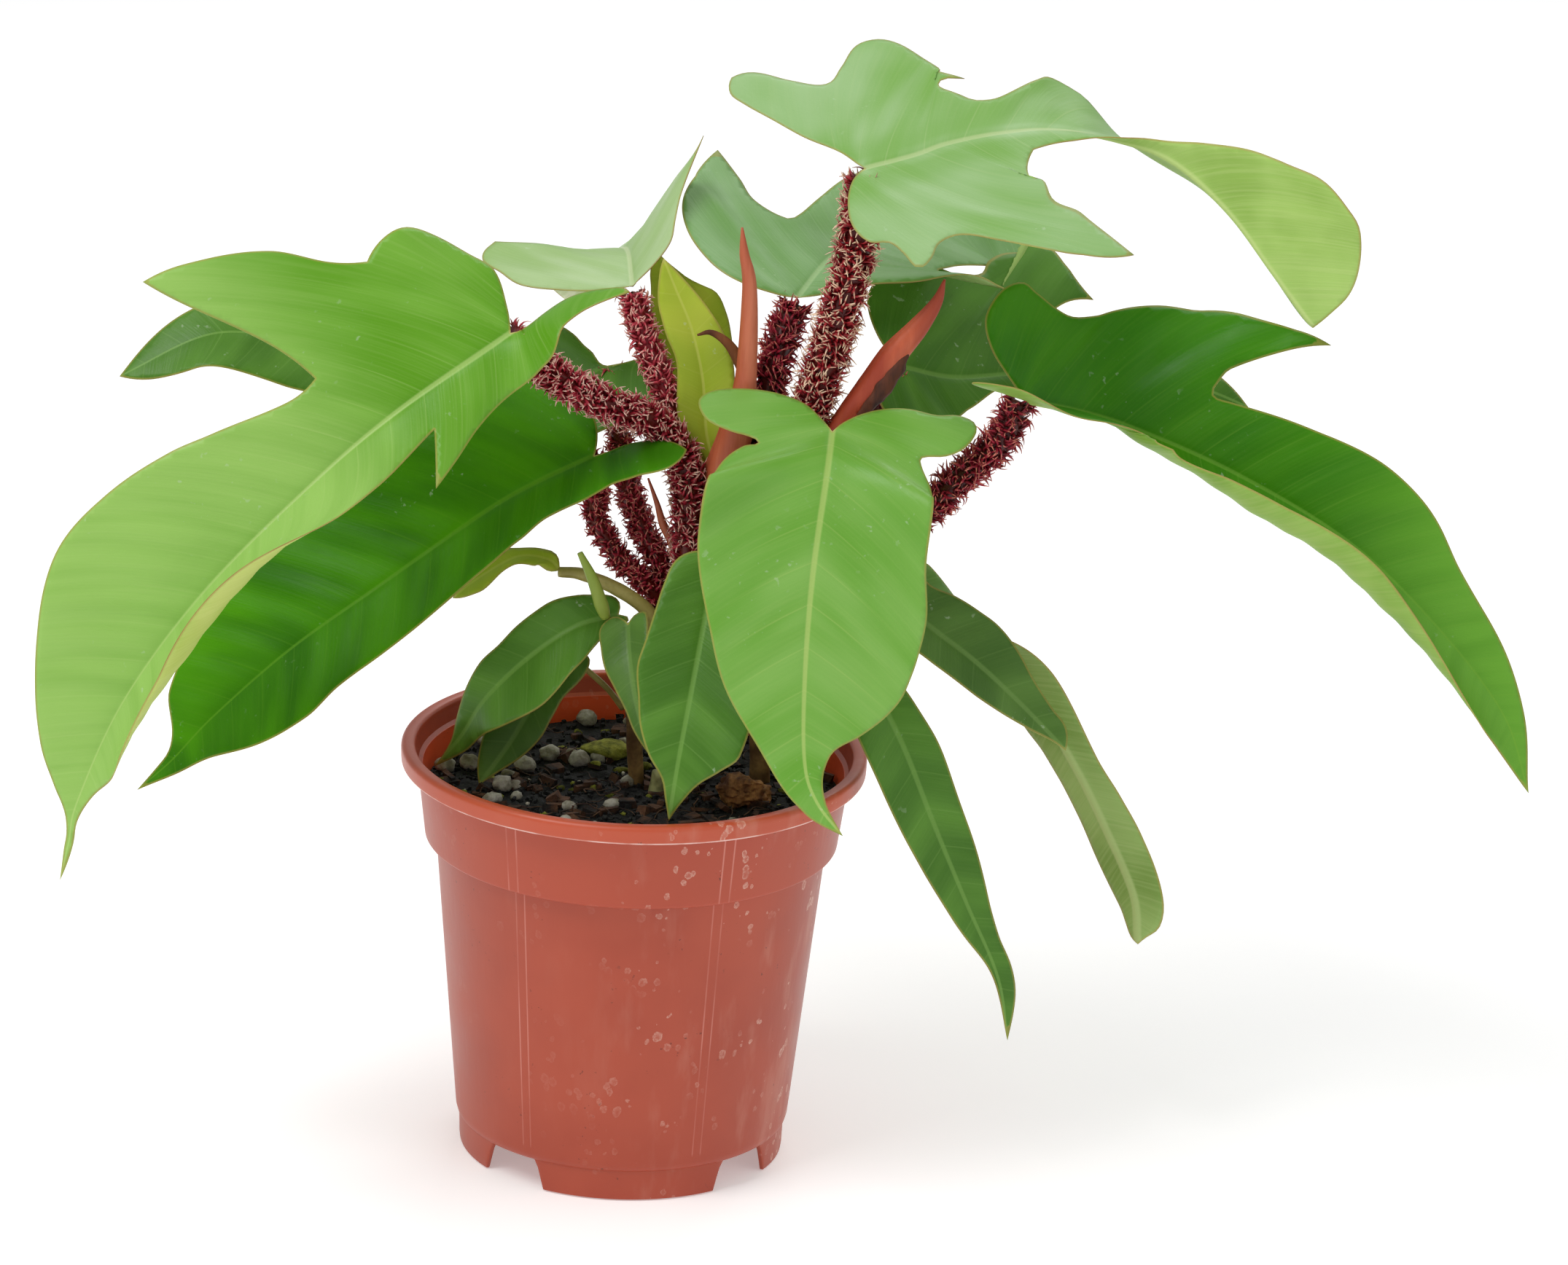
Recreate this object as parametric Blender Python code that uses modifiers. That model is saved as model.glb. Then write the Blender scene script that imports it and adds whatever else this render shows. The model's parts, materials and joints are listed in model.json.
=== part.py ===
"""Potted philodendron: red-bristled petioles, lobed and entire blades, in a plastic nursery pot.

World frame: metres, +Z up, z = 0 at the feet of the pot, front of the plant towards -Y.
The plant is laid out in millimetres (x right, y back, z up) around the axis of a pot 140 mm
wide and 127 mm tall, then fitted to the real pot by place().
"""
import math

import bmesh
import bpy
import numpy as np
from mathutils import Vector
from mathutils.geometry import delaunay_2d_cdt

NAME = "potted_philodendron"
MM = 0.001

# Pot
POT_RIM_DIAMETER = 0.140
POT_HEIGHT = 0.127
POT_BASE_RATIO = 0.703        # foot ring diameter / rim diameter
LIP_WIDTH = 0.004             # flat top of the rolled lip
LIP_HEIGHT = 0.0056
LIP_OVERHANG = 0.005          # lip beyond the band under it
BAND_HEIGHT = 0.0230          # straight band between lip and step
BAND_TAPER = 0.0028
STEP_WIDTH = 0.0034           # step from the band in to the body
WALL = 0.0014
FOOT_HEIGHT = 0.0100
NOTCH_HEIGHT = 0.0094
FLOOR_THICKNESS = 0.0016
DRAIN_HOLE_DIAMETER = 0.008
DRAIN_HOLES = 6
FEET = 4
FEET_TURN = 5.2               # degrees, turn of the feet about the pot's axis
NOTCH_ANGLE = 13.6            # degrees, half the notch at the floor
SOIL_BELOW_RIM = 0.014

# Plant
PLANT_SCALE = 1.0
LAYOUT_RIM_RADIUS = 70.0      # mm, rim of the pot the plant is laid out for
LAYOUT_RIM_HEIGHT = 127.0     # mm
AXIS_X = -0.0452              # pot axis from the middle of the whole plant's extent
AXIS_Y = -0.01115
LEAF_THICKNESS = 0.0007
PETIOLE_THICKNESS = 1.0       # factor on every petiole radius
VEIN_SWEEP = 0.7              # how far side veins lean towards the tip
CLEARANCE = 0.0003            # gap between neighbouring pieces

RIM_RADIUS = POT_RIM_DIAMETER / 2
FOOT_RADIUS = RIM_RADIUS * POT_BASE_RATIO
SOIL_TOP = POT_HEIGHT - SOIL_BELOW_RIM
CORNER = 1

# Colours (linear base colour, roughness)
TERRACOTTA = ("terracotta_plastic", (0.42, 0.09, 0.05), 0.45)
BLACK_SOIL = ("potting_soil", (0.02, 0.014, 0.010), 0.95)
LEAF_BRIGHT = ("leaf_bright_green", (0.16, 0.40, 0.07), 0.45)
LEAF_DEEP = ("leaf_deep_green", (0.05, 0.18, 0.03), 0.42)
LEAF_MILKY = ("leaf_milky_green", (0.22, 0.42, 0.14), 0.40)
LEAF_YELLOW = ("leaf_yellow_green", (0.42, 0.52, 0.06), 0.50)
CRIMSON = ("petiole_crimson", (0.22, 0.03, 0.03), 0.60)
OLIVE_STALK = ("stalk_olive", (0.36, 0.26, 0.06), 0.55)
STEM_BROWN = ("stem_brown_green", (0.16, 0.13, 0.05), 0.70)
SHEATH_ORANGE = ("sheath_orange_red", (0.52, 0.10, 0.04), 0.50)
SHEATH_BROWN = ("sheath_dry_brown", (0.16, 0.05, 0.02), 0.80)
PELLET_GREY = ("pellet_grey", (0.30, 0.29, 0.25), 0.80)
MOSS = ("moss_olive", (0.25, 0.24, 0.03), 0.90)
BARK = ("bark_brown", (0.16, 0.08, 0.03), 0.90)
STUB_GREEN = ("stub_pale_green", (0.22, 0.26, 0.10), 0.70)


def clear_scene():
    for item in list(bpy.data.objects):
        bpy.data.objects.remove(item, do_unlink=True)


def collection(name):
    group = bpy.data.collections.new(name)
    bpy.context.scene.collection.children.link(group)
    return group


def material(spec):
    name, colour, roughness = spec
    found = bpy.data.materials.get(name)
    if found:
        return found
    made = bpy.data.materials.new(name)
    made.use_nodes = True
    shader = made.node_tree.nodes["Principled BSDF"]
    shader.inputs["Base Color"].default_value = (*colour, 1.0)
    shader.inputs["Roughness"].default_value = roughness
    shader.inputs["Metallic"].default_value = 0.0
    return made


def mesh_object(name, verts, edges, faces, spec, group):
    mesh = bpy.data.meshes.new(name)
    mesh.from_pydata([tuple(v) for v in verts], edges, faces)
    obj = bpy.data.objects.new(name, mesh)
    mesh.materials.append(material(spec))
    group.objects.link(obj)
    for polygon in mesh.polygons:
        polygon.use_smooth = True
    return obj


def place(point):
    """Layout millimetres to metres: what is near the soil keeps to the pot, the rest to the plant."""
    x, y, z = point
    over_rim = z - LAYOUT_RIM_HEIGHT
    pot_fit = RIM_RADIUS / (LAYOUT_RIM_RADIUS * MM)
    blend = min(max((over_rim - 5.0) / 35.0, 0.0), 1.0)
    blend = blend * blend * (3 - 2 * blend)
    spread = (pot_fit + (PLANT_SCALE - pot_fit) * blend) * MM
    rise = PLANT_SCALE * MM if over_rim > 0 else MM
    return Vector((AXIS_X + x * spread, AXIS_Y + y * spread, POT_HEIGHT + over_rim * rise))


# ---------------------------------------------------------------- pot and soil

def wall_profile():
    """Outer wall from the lip down to the step and the body, as (radius, height)."""
    band_top = RIM_RADIUS - LIP_OVERHANG
    step_z = POT_HEIGHT - LIP_HEIGHT - BAND_HEIGHT
    band_bottom = band_top - BAND_TAPER
    body_top = band_bottom - STEP_WIDTH
    return band_top, step_z, band_bottom, body_top


def body_radius(z):
    """Outer radius of the tapered body at height z."""
    _, step_z, _, body_top = wall_profile()
    body_bottom = FOOT_RADIUS + 0.0012
    t = (z - FOOT_HEIGHT) / (step_z - FOOT_HEIGHT)
    return body_bottom + (body_top - body_bottom) * t


def inner_radius(z):
    """Inner radius of the pot at height z, above the floor."""
    band_top, step_z, band_bottom, body_top = wall_profile()
    if z < step_z - WALL:
        return body_radius(z) - WALL
    t = (z - step_z) / BAND_HEIGHT
    return band_bottom + (band_top - band_bottom) * t - WALL


def spin(name, profile, spec, group, steps):
    """Turn a (radius, height) profile about Z."""
    verts = [(r, 0.0, z) for r, z in profile]
    edges = [(i, i + 1) for i in range(len(verts) - 1)]
    obj = mesh_object(name, verts, edges, [], spec, group)
    obj.location = (AXIS_X, AXIS_Y, 0.0)
    screw = obj.modifiers.new("turn", "SCREW")
    screw.axis = "Z"
    screw.angle = 2 * math.pi
    screw.steps = steps
    screw.render_steps = steps
    screw.use_merge_vertices = True
    screw.merge_threshold = 0.00001
    screw.use_smooth_shade = True
    return obj


def cut(obj, cutter):
    boolean = obj.modifiers.new("cut_" + cutter.name, "BOOLEAN")
    boolean.operation = "DIFFERENCE"
    boolean.solver = "EXACT"
    boolean.object = cutter


def cutter_mesh(name, verts, faces, group):
    mesh = bpy.data.meshes.new(name)
    mesh.from_pydata(verts, [], faces)
    obj = bpy.data.objects.new(name, mesh)
    obj.location = (AXIS_X, AXIS_Y, 0.0)
    obj.hide_render = True
    obj.display_type = "WIRE"
    group.objects.link(obj)
    return obj


def prism(section, start, end, turn):
    """Prism of an (across, height) section running outwards from start to end, turned about Z."""
    count = len(section)
    verts = []
    for r in (start, end):
        for across, z in section:
            verts.append((r * math.cos(turn) - across * math.sin(turn),
                          r * math.sin(turn) + across * math.cos(turn), z))
    faces = [tuple(range(count - 1, -1, -1)), tuple(range(count, 2 * count))]
    for i in range(count):
        j = (i + 1) % count
        faces.append((i, j, count + j, count + i))
    return verts, faces


def notch_cutter(index, group):
    """Tapered notch between two feet of the base ring."""
    turn = math.radians(FEET_TURN) + (index + 0.5) * 2 * math.pi / FEET
    wide = FOOT_RADIUS * math.sin(math.radians(NOTCH_ANGLE))
    narrow = wide * 0.76
    section = [(-wide, -0.001), (wide, -0.001), (narrow, NOTCH_HEIGHT), (-narrow, NOTCH_HEIGHT)]
    verts, faces = prism(section, FOOT_RADIUS - 0.006, FOOT_RADIUS + 0.010, turn)
    return cutter_mesh(f"notch_{index + 1}", verts, faces, group)


def drain_cutter(index, group):
    """Round drain hole through the floor."""
    turn = (index + 0.5) * 2 * math.pi / DRAIN_HOLES
    centre = (0.62 * FOOT_RADIUS * math.cos(turn), 0.62 * FOOT_RADIUS * math.sin(turn))
    sides = 12
    verts = []
    for z in (FOOT_HEIGHT - 0.004, FOOT_HEIGHT + 0.004):
        for i in range(sides):
            a = 2 * math.pi * i / sides
            verts.append((centre[0] + DRAIN_HOLE_DIAMETER / 2 * math.cos(a),
                          centre[1] + DRAIN_HOLE_DIAMETER / 2 * math.sin(a), z))
    faces = [tuple(range(sides - 1, -1, -1)), tuple(range(sides, 2 * sides))]
    for i in range(sides):
        j = (i + 1) % sides
        faces.append((i, j, sides + j, sides + i))
    return cutter_mesh(f"drain_{index + 1}", verts, faces, group)


def pot(group, cutters):
    """Thin-walled pot: rolled lip, band, step, tapered body, raised floor, notched foot ring."""
    band_top, step_z, band_bottom, body_top = wall_profile()
    floor_top = FOOT_HEIGHT + FLOOR_THICKNESS
    lip_inner = RIM_RADIUS - LIP_WIDTH
    lip_bottom = POT_HEIGHT - LIP_HEIGHT
    profile = [
        (0.0, floor_top),
        (inner_radius(floor_top) - 0.001, floor_top),
        (inner_radius(floor_top + 0.001), floor_top + 0.001),
        (inner_radius(step_z - 2 * WALL), step_z - 2 * WALL),
        (inner_radius(step_z), step_z),
        (inner_radius(lip_bottom), lip_bottom),
        (lip_inner - 0.0006, lip_bottom + 0.0012),
        (lip_inner, POT_HEIGHT - 0.0006),
        (lip_inner + 0.0006, POT_HEIGHT),
        (RIM_RADIUS - 0.0008, POT_HEIGHT),
        (RIM_RADIUS, POT_HEIGHT - 0.0008),
        (RIM_RADIUS, lip_bottom + 0.0004),
        (RIM_RADIUS - 0.0006, lip_bottom),
        (band_top, lip_bottom),
        (band_bottom, step_z + 0.0008),
        (band_bottom - 0.0008, step_z),
        (body_top, step_z),
        (body_radius(FOOT_HEIGHT), FOOT_HEIGHT),
        (FOOT_RADIUS + 0.0004, FOOT_HEIGHT - 0.0006),
        (FOOT_RADIUS, 0.0004),
        (FOOT_RADIUS - 0.0004, 0.0),
        (FOOT_RADIUS - WALL, 0.0),
        (FOOT_RADIUS - WALL, FOOT_HEIGHT),
        (0.0, FOOT_HEIGHT),
    ]
    obj = spin("pot", profile, TERRACOTTA, group, 48)
    for index in range(FEET):
        cut(obj, notch_cutter(index, cutters))
    for index in range(DRAIN_HOLES):
        cut(obj, drain_cutter(index, cutters))
    return obj


def soil(group):
    """Potting mix filling the pot from the floor to SOIL_BELOW_RIM."""
    step_z = wall_profile()[1]
    bottom = FOOT_HEIGHT + FLOOR_THICKNESS + CLEARANCE
    below_step = step_z - 2 * WALL - CLEARANCE
    profile = [
        (0.0, SOIL_TOP),
        (inner_radius(SOIL_TOP) - CLEARANCE, SOIL_TOP),
        (inner_radius(step_z + 0.001) - CLEARANCE, step_z + 0.001),
        (inner_radius(below_step) - CLEARANCE, below_step),
        (inner_radius(bottom + 0.001) - 0.001 - CLEARANCE, bottom),
        (0.0, bottom),
    ]
    return spin("soil", profile, BLACK_SOIL, group, 32)


# ---------------------------------------------------------------- curves and blades

def spline(knots, steps):
    """Smooth curve through the knots, the same number of steps in each span."""
    pts = [np.array(k, float) for k in knots]
    pts = [2 * pts[0] - pts[1]] + pts + [2 * pts[-1] - pts[-2]]
    out = []
    for a, b, c, d in zip(pts, pts[1:], pts[2:], pts[3:]):
        for i in range(steps):
            t = i / steps
            out.append(0.5 * (2 * b + (c - a) * t + (2 * a - 5 * b + 4 * c - d) * t * t
                              + (3 * b - a - 3 * c + d) * t ** 3))
    out.append(pts[-2])
    return np.array(out)


class Blade:
    """A leaf surface: (along, across) millimetres on the flat leaf to a point of the bent leaf.

    Each side is an arc that leaves the midrib at its fold angle and bends by its curl per
    millimetre. Side veins lean forward, so a lobe follows the midrib where its veins start.
    """

    def __init__(self, midrib, face, bend, ears, sweep_end):
        count = len(midrib)
        face = face if isinstance(face, list) else [face] * count
        bend = bend if isinstance(bend, list) else [bend] * count
        curve = spline([(*m, *f, *b) for m, f, b in zip(midrib, face, bend)], 20)
        self.points = curve[:, :3]
        lengths = np.linalg.norm(np.diff(self.points, axis=0), axis=1)
        self.along = np.concatenate([[0.0], np.cumsum(lengths)])
        self.length = float(self.along[-1])
        self.tangents = np.gradient(self.points, axis=0)
        self.faces = curve[:, 3:6]
        self.bends = curve[:, 6:10]
        self.ears = np.array(ears, float)
        self.sweep_end = sweep_end

    def at(self, s, v):
        s = np.atleast_1d(np.asarray(s, float))
        v = np.atleast_1d(np.asarray(v, float))
        width = np.abs(v)
        sweep = VEIN_SWEEP * np.clip((self.sweep_end - s) / 25.0, 0.0, 1.0)
        start = np.clip(s - sweep * width, 0.0, self.length)

        def follow(rows):
            return np.stack([np.interp(start, self.along, rows[:, i])
                             for i in range(rows.shape[1])], axis=-1)

        origin = follow(self.points)
        tangent = follow(self.tangents)
        tangent /= np.linalg.norm(tangent, axis=1)[:, None]
        normal = follow(self.faces)
        normal -= (normal * tangent).sum(1)[:, None] * tangent
        normal /= np.linalg.norm(normal, axis=1)[:, None]
        mix = np.clip((s + 12.0) / 24.0, 0.0, 1.0)
        mix = (mix * mix * (3 - 2 * mix))[:, None]
        bend = self.ears * (1 - mix) + follow(self.bends) * mix
        side = np.cross(tangent, normal)
        left = v < 0
        fold = np.radians(np.where(left, bend[:, 0], bend[:, 2]))
        curl = np.radians(np.where(left, bend[:, 1], bend[:, 3]))
        curl = np.where(np.abs(curl) < 1e-5, 1e-5, curl)
        end = fold + curl * width
        out = (np.sin(end) - np.sin(fold)) / curl
        up = (np.cos(fold) - np.cos(end)) / curl
        return (origin + tangent * (s - start)[:, None]
                + side * (np.sign(v) * out)[:, None] + normal * up[:, None])

    def base_normal(self):
        tangent = self.tangents[0] / np.linalg.norm(self.tangents[0])
        normal = self.faces[0] - np.dot(self.faces[0], tangent) * tangent
        return normal / np.linalg.norm(normal)


def margin(points, spacing):
    """Leaf margin through (along, across[, CORNER]) points, thinned to the spacing."""
    pts = [np.array(p[:2], float) for p in points]
    last = len(pts) - 1
    sharp = [len(p) > 2 or i in (0, last) for i, p in enumerate(points)]
    out = [pts[0]]
    for i in range(last):
        a, b = pts[i], pts[i + 1]
        reach = np.linalg.norm(b - a)
        chord = (b - a) / reach
        ta = None if sharp[i] else (b - pts[i - 1]) / np.linalg.norm(b - pts[i - 1])
        tb = None if sharp[i + 1] else (pts[i + 2] - a) / np.linalg.norm(pts[i + 2] - a)
        if ta is None and tb is None:
            ta, tb = chord, chord
        elif ta is None:
            ta = 2 * chord - tb
        elif tb is None:
            tb = 2 * chord - ta
        pieces = max(1, int(round(reach / spacing)))
        for k in range(1, pieces + 1):
            t = k / pieces
            out.append((2 * t ** 3 - 3 * t * t + 1) * a + (t ** 3 - 2 * t * t + t) * ta * reach
                       + (3 * t * t - 2 * t ** 3) * b + (t ** 3 - t * t) * tb * reach)
    return out


def inside(point, loop):
    x, y = point
    hit = False
    for (x1, y1), (x2, y2) in zip(loop, loop[1:] + loop[:1]):
        if (y1 > y) != (y2 > y) and x < (x2 - x1) * (y - y1) / (y2 - y1) + x1:
            hit = not hit
    return hit


def gap_to(point, loop):
    nearest = 1e9
    p = np.array(point)
    for a, b in zip(loop, loop[1:] + loop[:1]):
        a, b = np.array(a), np.array(b)
        t = np.clip(np.dot(p - a, b - a) / max(np.dot(b - a, b - a), 1e-9), 0, 1)
        nearest = min(nearest, float(np.linalg.norm(p - a - (b - a) * t)))
    return nearest


def flat_mesh(right, left, length, edge_step, cell):
    """Triangulate the flat leaf: margin, midrib and an even scatter of cells between them."""
    tip = (length, 0.0)
    rim = margin([(0.0, 0.0)] + right + [tip], edge_step)
    back = margin([(0.0, 0.0)] + [(p[0], -p[1], *p[2:]) for p in left] + [tip], edge_step)
    loop = [tuple(p) for p in rim] + [tuple(p) for p in back[-2:0:-1]]
    count = len(loop)
    tip_index = len(rim) - 1
    points = list(loop)
    edges = [(i, (i + 1) % count) for i in range(count)]
    ribs = max(2, int(length / cell))
    previous = 0
    for i in range(1, ribs):
        points.append((length * i / ribs, 0.0))
        edges.append((previous, len(points) - 1))
        previous = len(points) - 1
    edges.append((previous, tip_index))
    low = min(p[0] for p in loop)
    rows = int((length - low) / cell) + 2
    reach = max(abs(p[1]) for p in loop)
    columns = int(reach / cell) + 2
    for i in range(rows):
        for j in range(-columns, columns + 1):
            spot = (low + i * cell * 0.87, (j + 0.5 * (i % 2)) * cell)
            if abs(spot[1]) > 0.4 * cell and inside(spot, loop) and gap_to(spot, loop) > 0.45 * cell:
                points.append(spot)
    result = delaunay_2d_cdt([Vector(p) for p in points], edges, [], 1, 1e-5)
    return [(p.x, p.y) for p in result[0]], [tuple(f) for f in result[2]]


BLADES = {}


def leaf(name, spec, group, midrib, right, left, face, bend=(0, 0, 0, 0), ears=None,
         sweep_end=1000.0, edge_step=7.0, cell=11.0):
    """Leaf blade as a thin sheet, bent in space."""
    first = bend[0] if isinstance(bend, list) else bend
    blade = Blade(midrib, face, bend, ears or first, sweep_end)
    BLADES[name] = blade
    flat, faces = flat_mesh(right, left, blade.length, edge_step, cell)
    flat = np.array(flat)
    verts = [place(p) for p in blade.at(flat[:, 0], flat[:, 1])]
    obj = mesh_object(name, verts, [], faces, spec, group)
    sheet = obj.modifiers.new("thickness", "SOLIDIFY")
    sheet.thickness = LEAF_THICKNESS
    sheet.offset = 0.0
    return obj


def tube(name, spec, group, path, radii, steps=2, resolution=2):
    """Round tapering piece along a smooth path, closed at both ends; radii in mm."""
    line = spline(path, steps)
    width = np.interp(np.linspace(0, 1, len(line)), np.linspace(0, 1, len(radii)), radii)
    curve = bpy.data.curves.new(name, "CURVE")
    curve.dimensions = "3D"
    curve.bevel_depth = MM * PLANT_SCALE
    curve.bevel_resolution = resolution
    curve.use_fill_caps = True
    wire = curve.splines.new("POLY")
    wire.points.add(len(line) - 1)
    for knot, point, radius in zip(wire.points, line, width):
        knot.co = (*place(point), 1.0)
        knot.radius = float(radius)
    curve.materials.append(material(spec))
    obj = bpy.data.objects.new(name, curve)
    group.objects.link(obj)
    return obj


def petiole(name, blade_name, group, path, radii, spec=CRIMSON, steps=2, resolution=2):
    """Leaf stalk from its stem to just under the base of its blade."""
    radii = [r * PETIOLE_THICKNESS for r in radii]
    blade = BLADES[blade_name]
    normal = blade.base_normal()
    heading = blade.points[0] - np.array(path[-1], float)
    heading /= np.linalg.norm(heading)
    reach = radii[-1] * math.sqrt(max(0.0, 1.0 - float(heading @ normal) ** 2))
    drop = reach + (LEAF_THICKNESS / 2 + 2 * CLEARANCE) / (MM * PLANT_SCALE)
    top = blade.points[0] - normal * drop
    return tube(name, spec, group, path + [tuple(top)], radii, steps, resolution)


def lump(name, spec, group, centre, size, seed):
    """Uneven rounded piece lying on the soil; centre and half sizes in layout millimetres."""
    uneven = np.random.default_rng(seed)
    shape = bmesh.new()
    bmesh.ops.create_icosphere(shape, subdivisions=2, radius=1.0)
    for vert in shape.verts:
        stretch = uneven.uniform(0.9, 1.0)
        x, y, z = (c + h * stretch * k for c, h, k in zip(centre, size, vert.co))
        vert.co = place((x, y, z))
    mesh = bpy.data.meshes.new(name)
    shape.to_mesh(mesh)
    shape.free()
    mesh.materials.append(material(spec))
    for polygon in mesh.polygons:
        polygon.use_smooth = True
    obj = bpy.data.objects.new(name, mesh)
    group.objects.link(obj)
    return obj


# ---------------------------------------------------------------- blades

def leaf_left_big(group):
    """Large five-lobed blade hanging down on the left, its left margin curling up."""
    leaf("leaf_left_big", LEAF_BRIGHT, group,
         midrib=[(-40, -24, 262), (-72, -40, 241), (-96, -52, 221), (-125, -62, 191),
                 (-147, -68, 159), (-160, -70, 128), (-162.5, -70, 115), (-165, -70, 103)],
         face=[(0, -0.85, 0.5), (-0.05, -0.9, 0.45), (-0.05, -0.95, 0.33), (-0.05, -0.95, 0.3),
               (-0.1, -0.95, 0.3), (-0.1, -0.95, 0.3), (-0.1, -0.95, 0.3), (-0.1, -0.95, 0.3)],
         bend=[(-8, 0, 6, 0), (20, 1, 6, 0), (42, 2, 4, 0), (37, 2.3, 2, 0),
               (30, 3, 0, 0), (15, 3, 0, 0), (15, 3, 0, 0), (15, 3, 0, 0)],
         ears=(50, 0, -10, 0),
         right=[(-4, 7), (-8, 19), (-5, 27), (0, 37), (6, 43), (14, 44), (22, 41, CORNER),
                (31, 47), (44, 60), (67, 70), (79, 73, CORNER), (74, 63), (59, 37),
                (54, 22, CORNER), (64, 22), (85, 30), (98, 35), (119, 39), (139, 39), (159, 30),
                (181, 16), (190, 8), (197, 2), (207, 1)],
         left=[(-5, 2), (-20, 3), (-31, 14), (-32, 21, CORNER), (-21, 15), (-13, 15), (-5, 18),
               (1, 16), (11, 15), (24, 18), (37, 24), (47, 29, CORNER), (36, 12, CORNER),
               (62, 20), (85, 29), (110, 35), (135, 34), (155, 26), (175, 14), (186, 5),
               (197, 1.8), (208, 1.3)])


def leaf_left_lower(group):
    """Dark entire blade reaching down to the left, below the big one."""
    leaf("leaf_left_lower", LEAF_DEEP, group,
         midrib=[(-15, 0, 218), (-33, -6, 210), (-48, -10, 201), (-77, -14, 179),
                 (-103, -18, 159), (-125, -21, 138), (-137, -22, 124), (-147, -24, 115)],
         face=[(0.05, -0.7, 0.7), (0.05, -0.7, 0.7), (0.05, -0.7, 0.7), (0, -0.7, 0.7),
               (0, -0.7, 0.7), (-0.1, -0.75, 0.6), (-0.1, -0.75, 0.6), (-0.1, -0.75, 0.6)],
         bend=(10, 0, 0, 0), ears=(38, 0, 0, 0),
         right=[(-3, 4), (-5, 9), (-5, 16), (0, 25), (5, 30), (14, 38), (26, 38, CORNER),
                (34, 30), (60, 34), (90, 33), (120, 27), (144, 16), (151, 6.5), (156, 3), (163, 1.5)],
         left=[(-4, 1), (-11, 3), (-19, 9), (-23, 21, CORNER), (-18, 26), (-12, 26), (-6, 20),
               (2, 14), (21, 13), (31, 15), (50, 17), (68, 19), (83, 20), (101, 21),
               (114, 23), (131, 18.5), (150, 8), (161, 3.5)])


def leaf_left_back(group):
    """Blade reaching left behind the two others."""
    leaf("leaf_left_back", LEAF_DEEP, group,
         midrib=[(-13, 34, 235.6), (-29, 33, 229.3), (-59, 29, 232.3), (-96, 23, 240),
                 (-128, 16, 246), (-157, 10, 233)],
         face=(0, -0.6, 0.8),
         right=[(2, 2), (3, 6), (5, 10), (7, 15), (11, 20), (22, 22), (50, 16), (80, 13),
                (110, 12), (135, 8)],
         left=[(-5, 1), (-10, 2), (-13, 6), (-15, 14), (-15, 17), (-13, 20), (-4, 21),
               (10, 22), (30, 24), (60, 20), (90, 17), (120, 14), (142, 7)])


def leaf_upper_left(group):
    """Pale blade on the upper left, folded along its midrib and arching backwards."""
    leaf("leaf_upper_left", LEAF_MILKY, group,
         midrib=[(-6, 20, 265), (-8, 43, 268), (-11, 62, 264), (-17, 84, 254),
                 (-23, 100, 243.5), (-29, 114, 232)],
         face=[(0, -0.25, 0.95), (0, -0.1, 1), (0, 0.3, 1), (0, 0.4, 0.9), (0, 0.45, 0.9),
               (0, 0.5, 0.85)],
         bend=[(0, 0, 48, 0.2), (-4, 0, 50, 0.2), (-4, 0, 40, 0), (0, 0, 20, 0),
               (0, 0, 5, 0), (0, 0, 0, 0)],
         ears=(-5, 0, 30, 0),
         right=[(3, 11), (7, 18), (23, 25), (40, 38, CORNER), (36, 27), (44, 14), (56, 18),
                (72, 21), (86, 17), (98, 8)],
         left=[(-3, 8), (-2, 20), (2, 33), (10, 39), (20, 44), (31, 40, CORNER), (31, 30),
               (36, 20), (46, 15), (58, 18), (72, 21), (86, 17), (98, 8)])


def leaf_top_mid(group):
    """Lobed blade at the top middle, reaching back and to the right under the top one."""
    leaf("leaf_top_mid", LEAF_DEEP, group,
         midrib=[(43, 15, 265), (53, 40, 271), (66, 62, 272), (86, 90, 270), (109, 110, 258),
                 (120, 116, 250)],
         face=[(-0.1, -0.85, 0.5), (-0.1, -0.75, 0.6), (-0.1, -0.75, 0.6), (-0.1, -0.75, 0.6),
               (-0.1, -0.75, 0.6), (-0.1, -0.75, 0.6)],
         right=[(3, 3), (14, 12), (20, 16), (34, 30), (62, 44, CORNER), (56, 28), (62, 20),
                (90, 24), (115, 14), (130, 5)],
         left=[(-3, 5), (-5, 18), (-2, 28), (8, 40), (23, 48), (46, 50), (56, 51, CORNER),
               (47, 39), (39, 30), (36, 19), (40, 18), (51, 20), (64, 23), (76, 24),
               (82, 26), (100, 23), (118, 15), (130, 6)])


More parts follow.
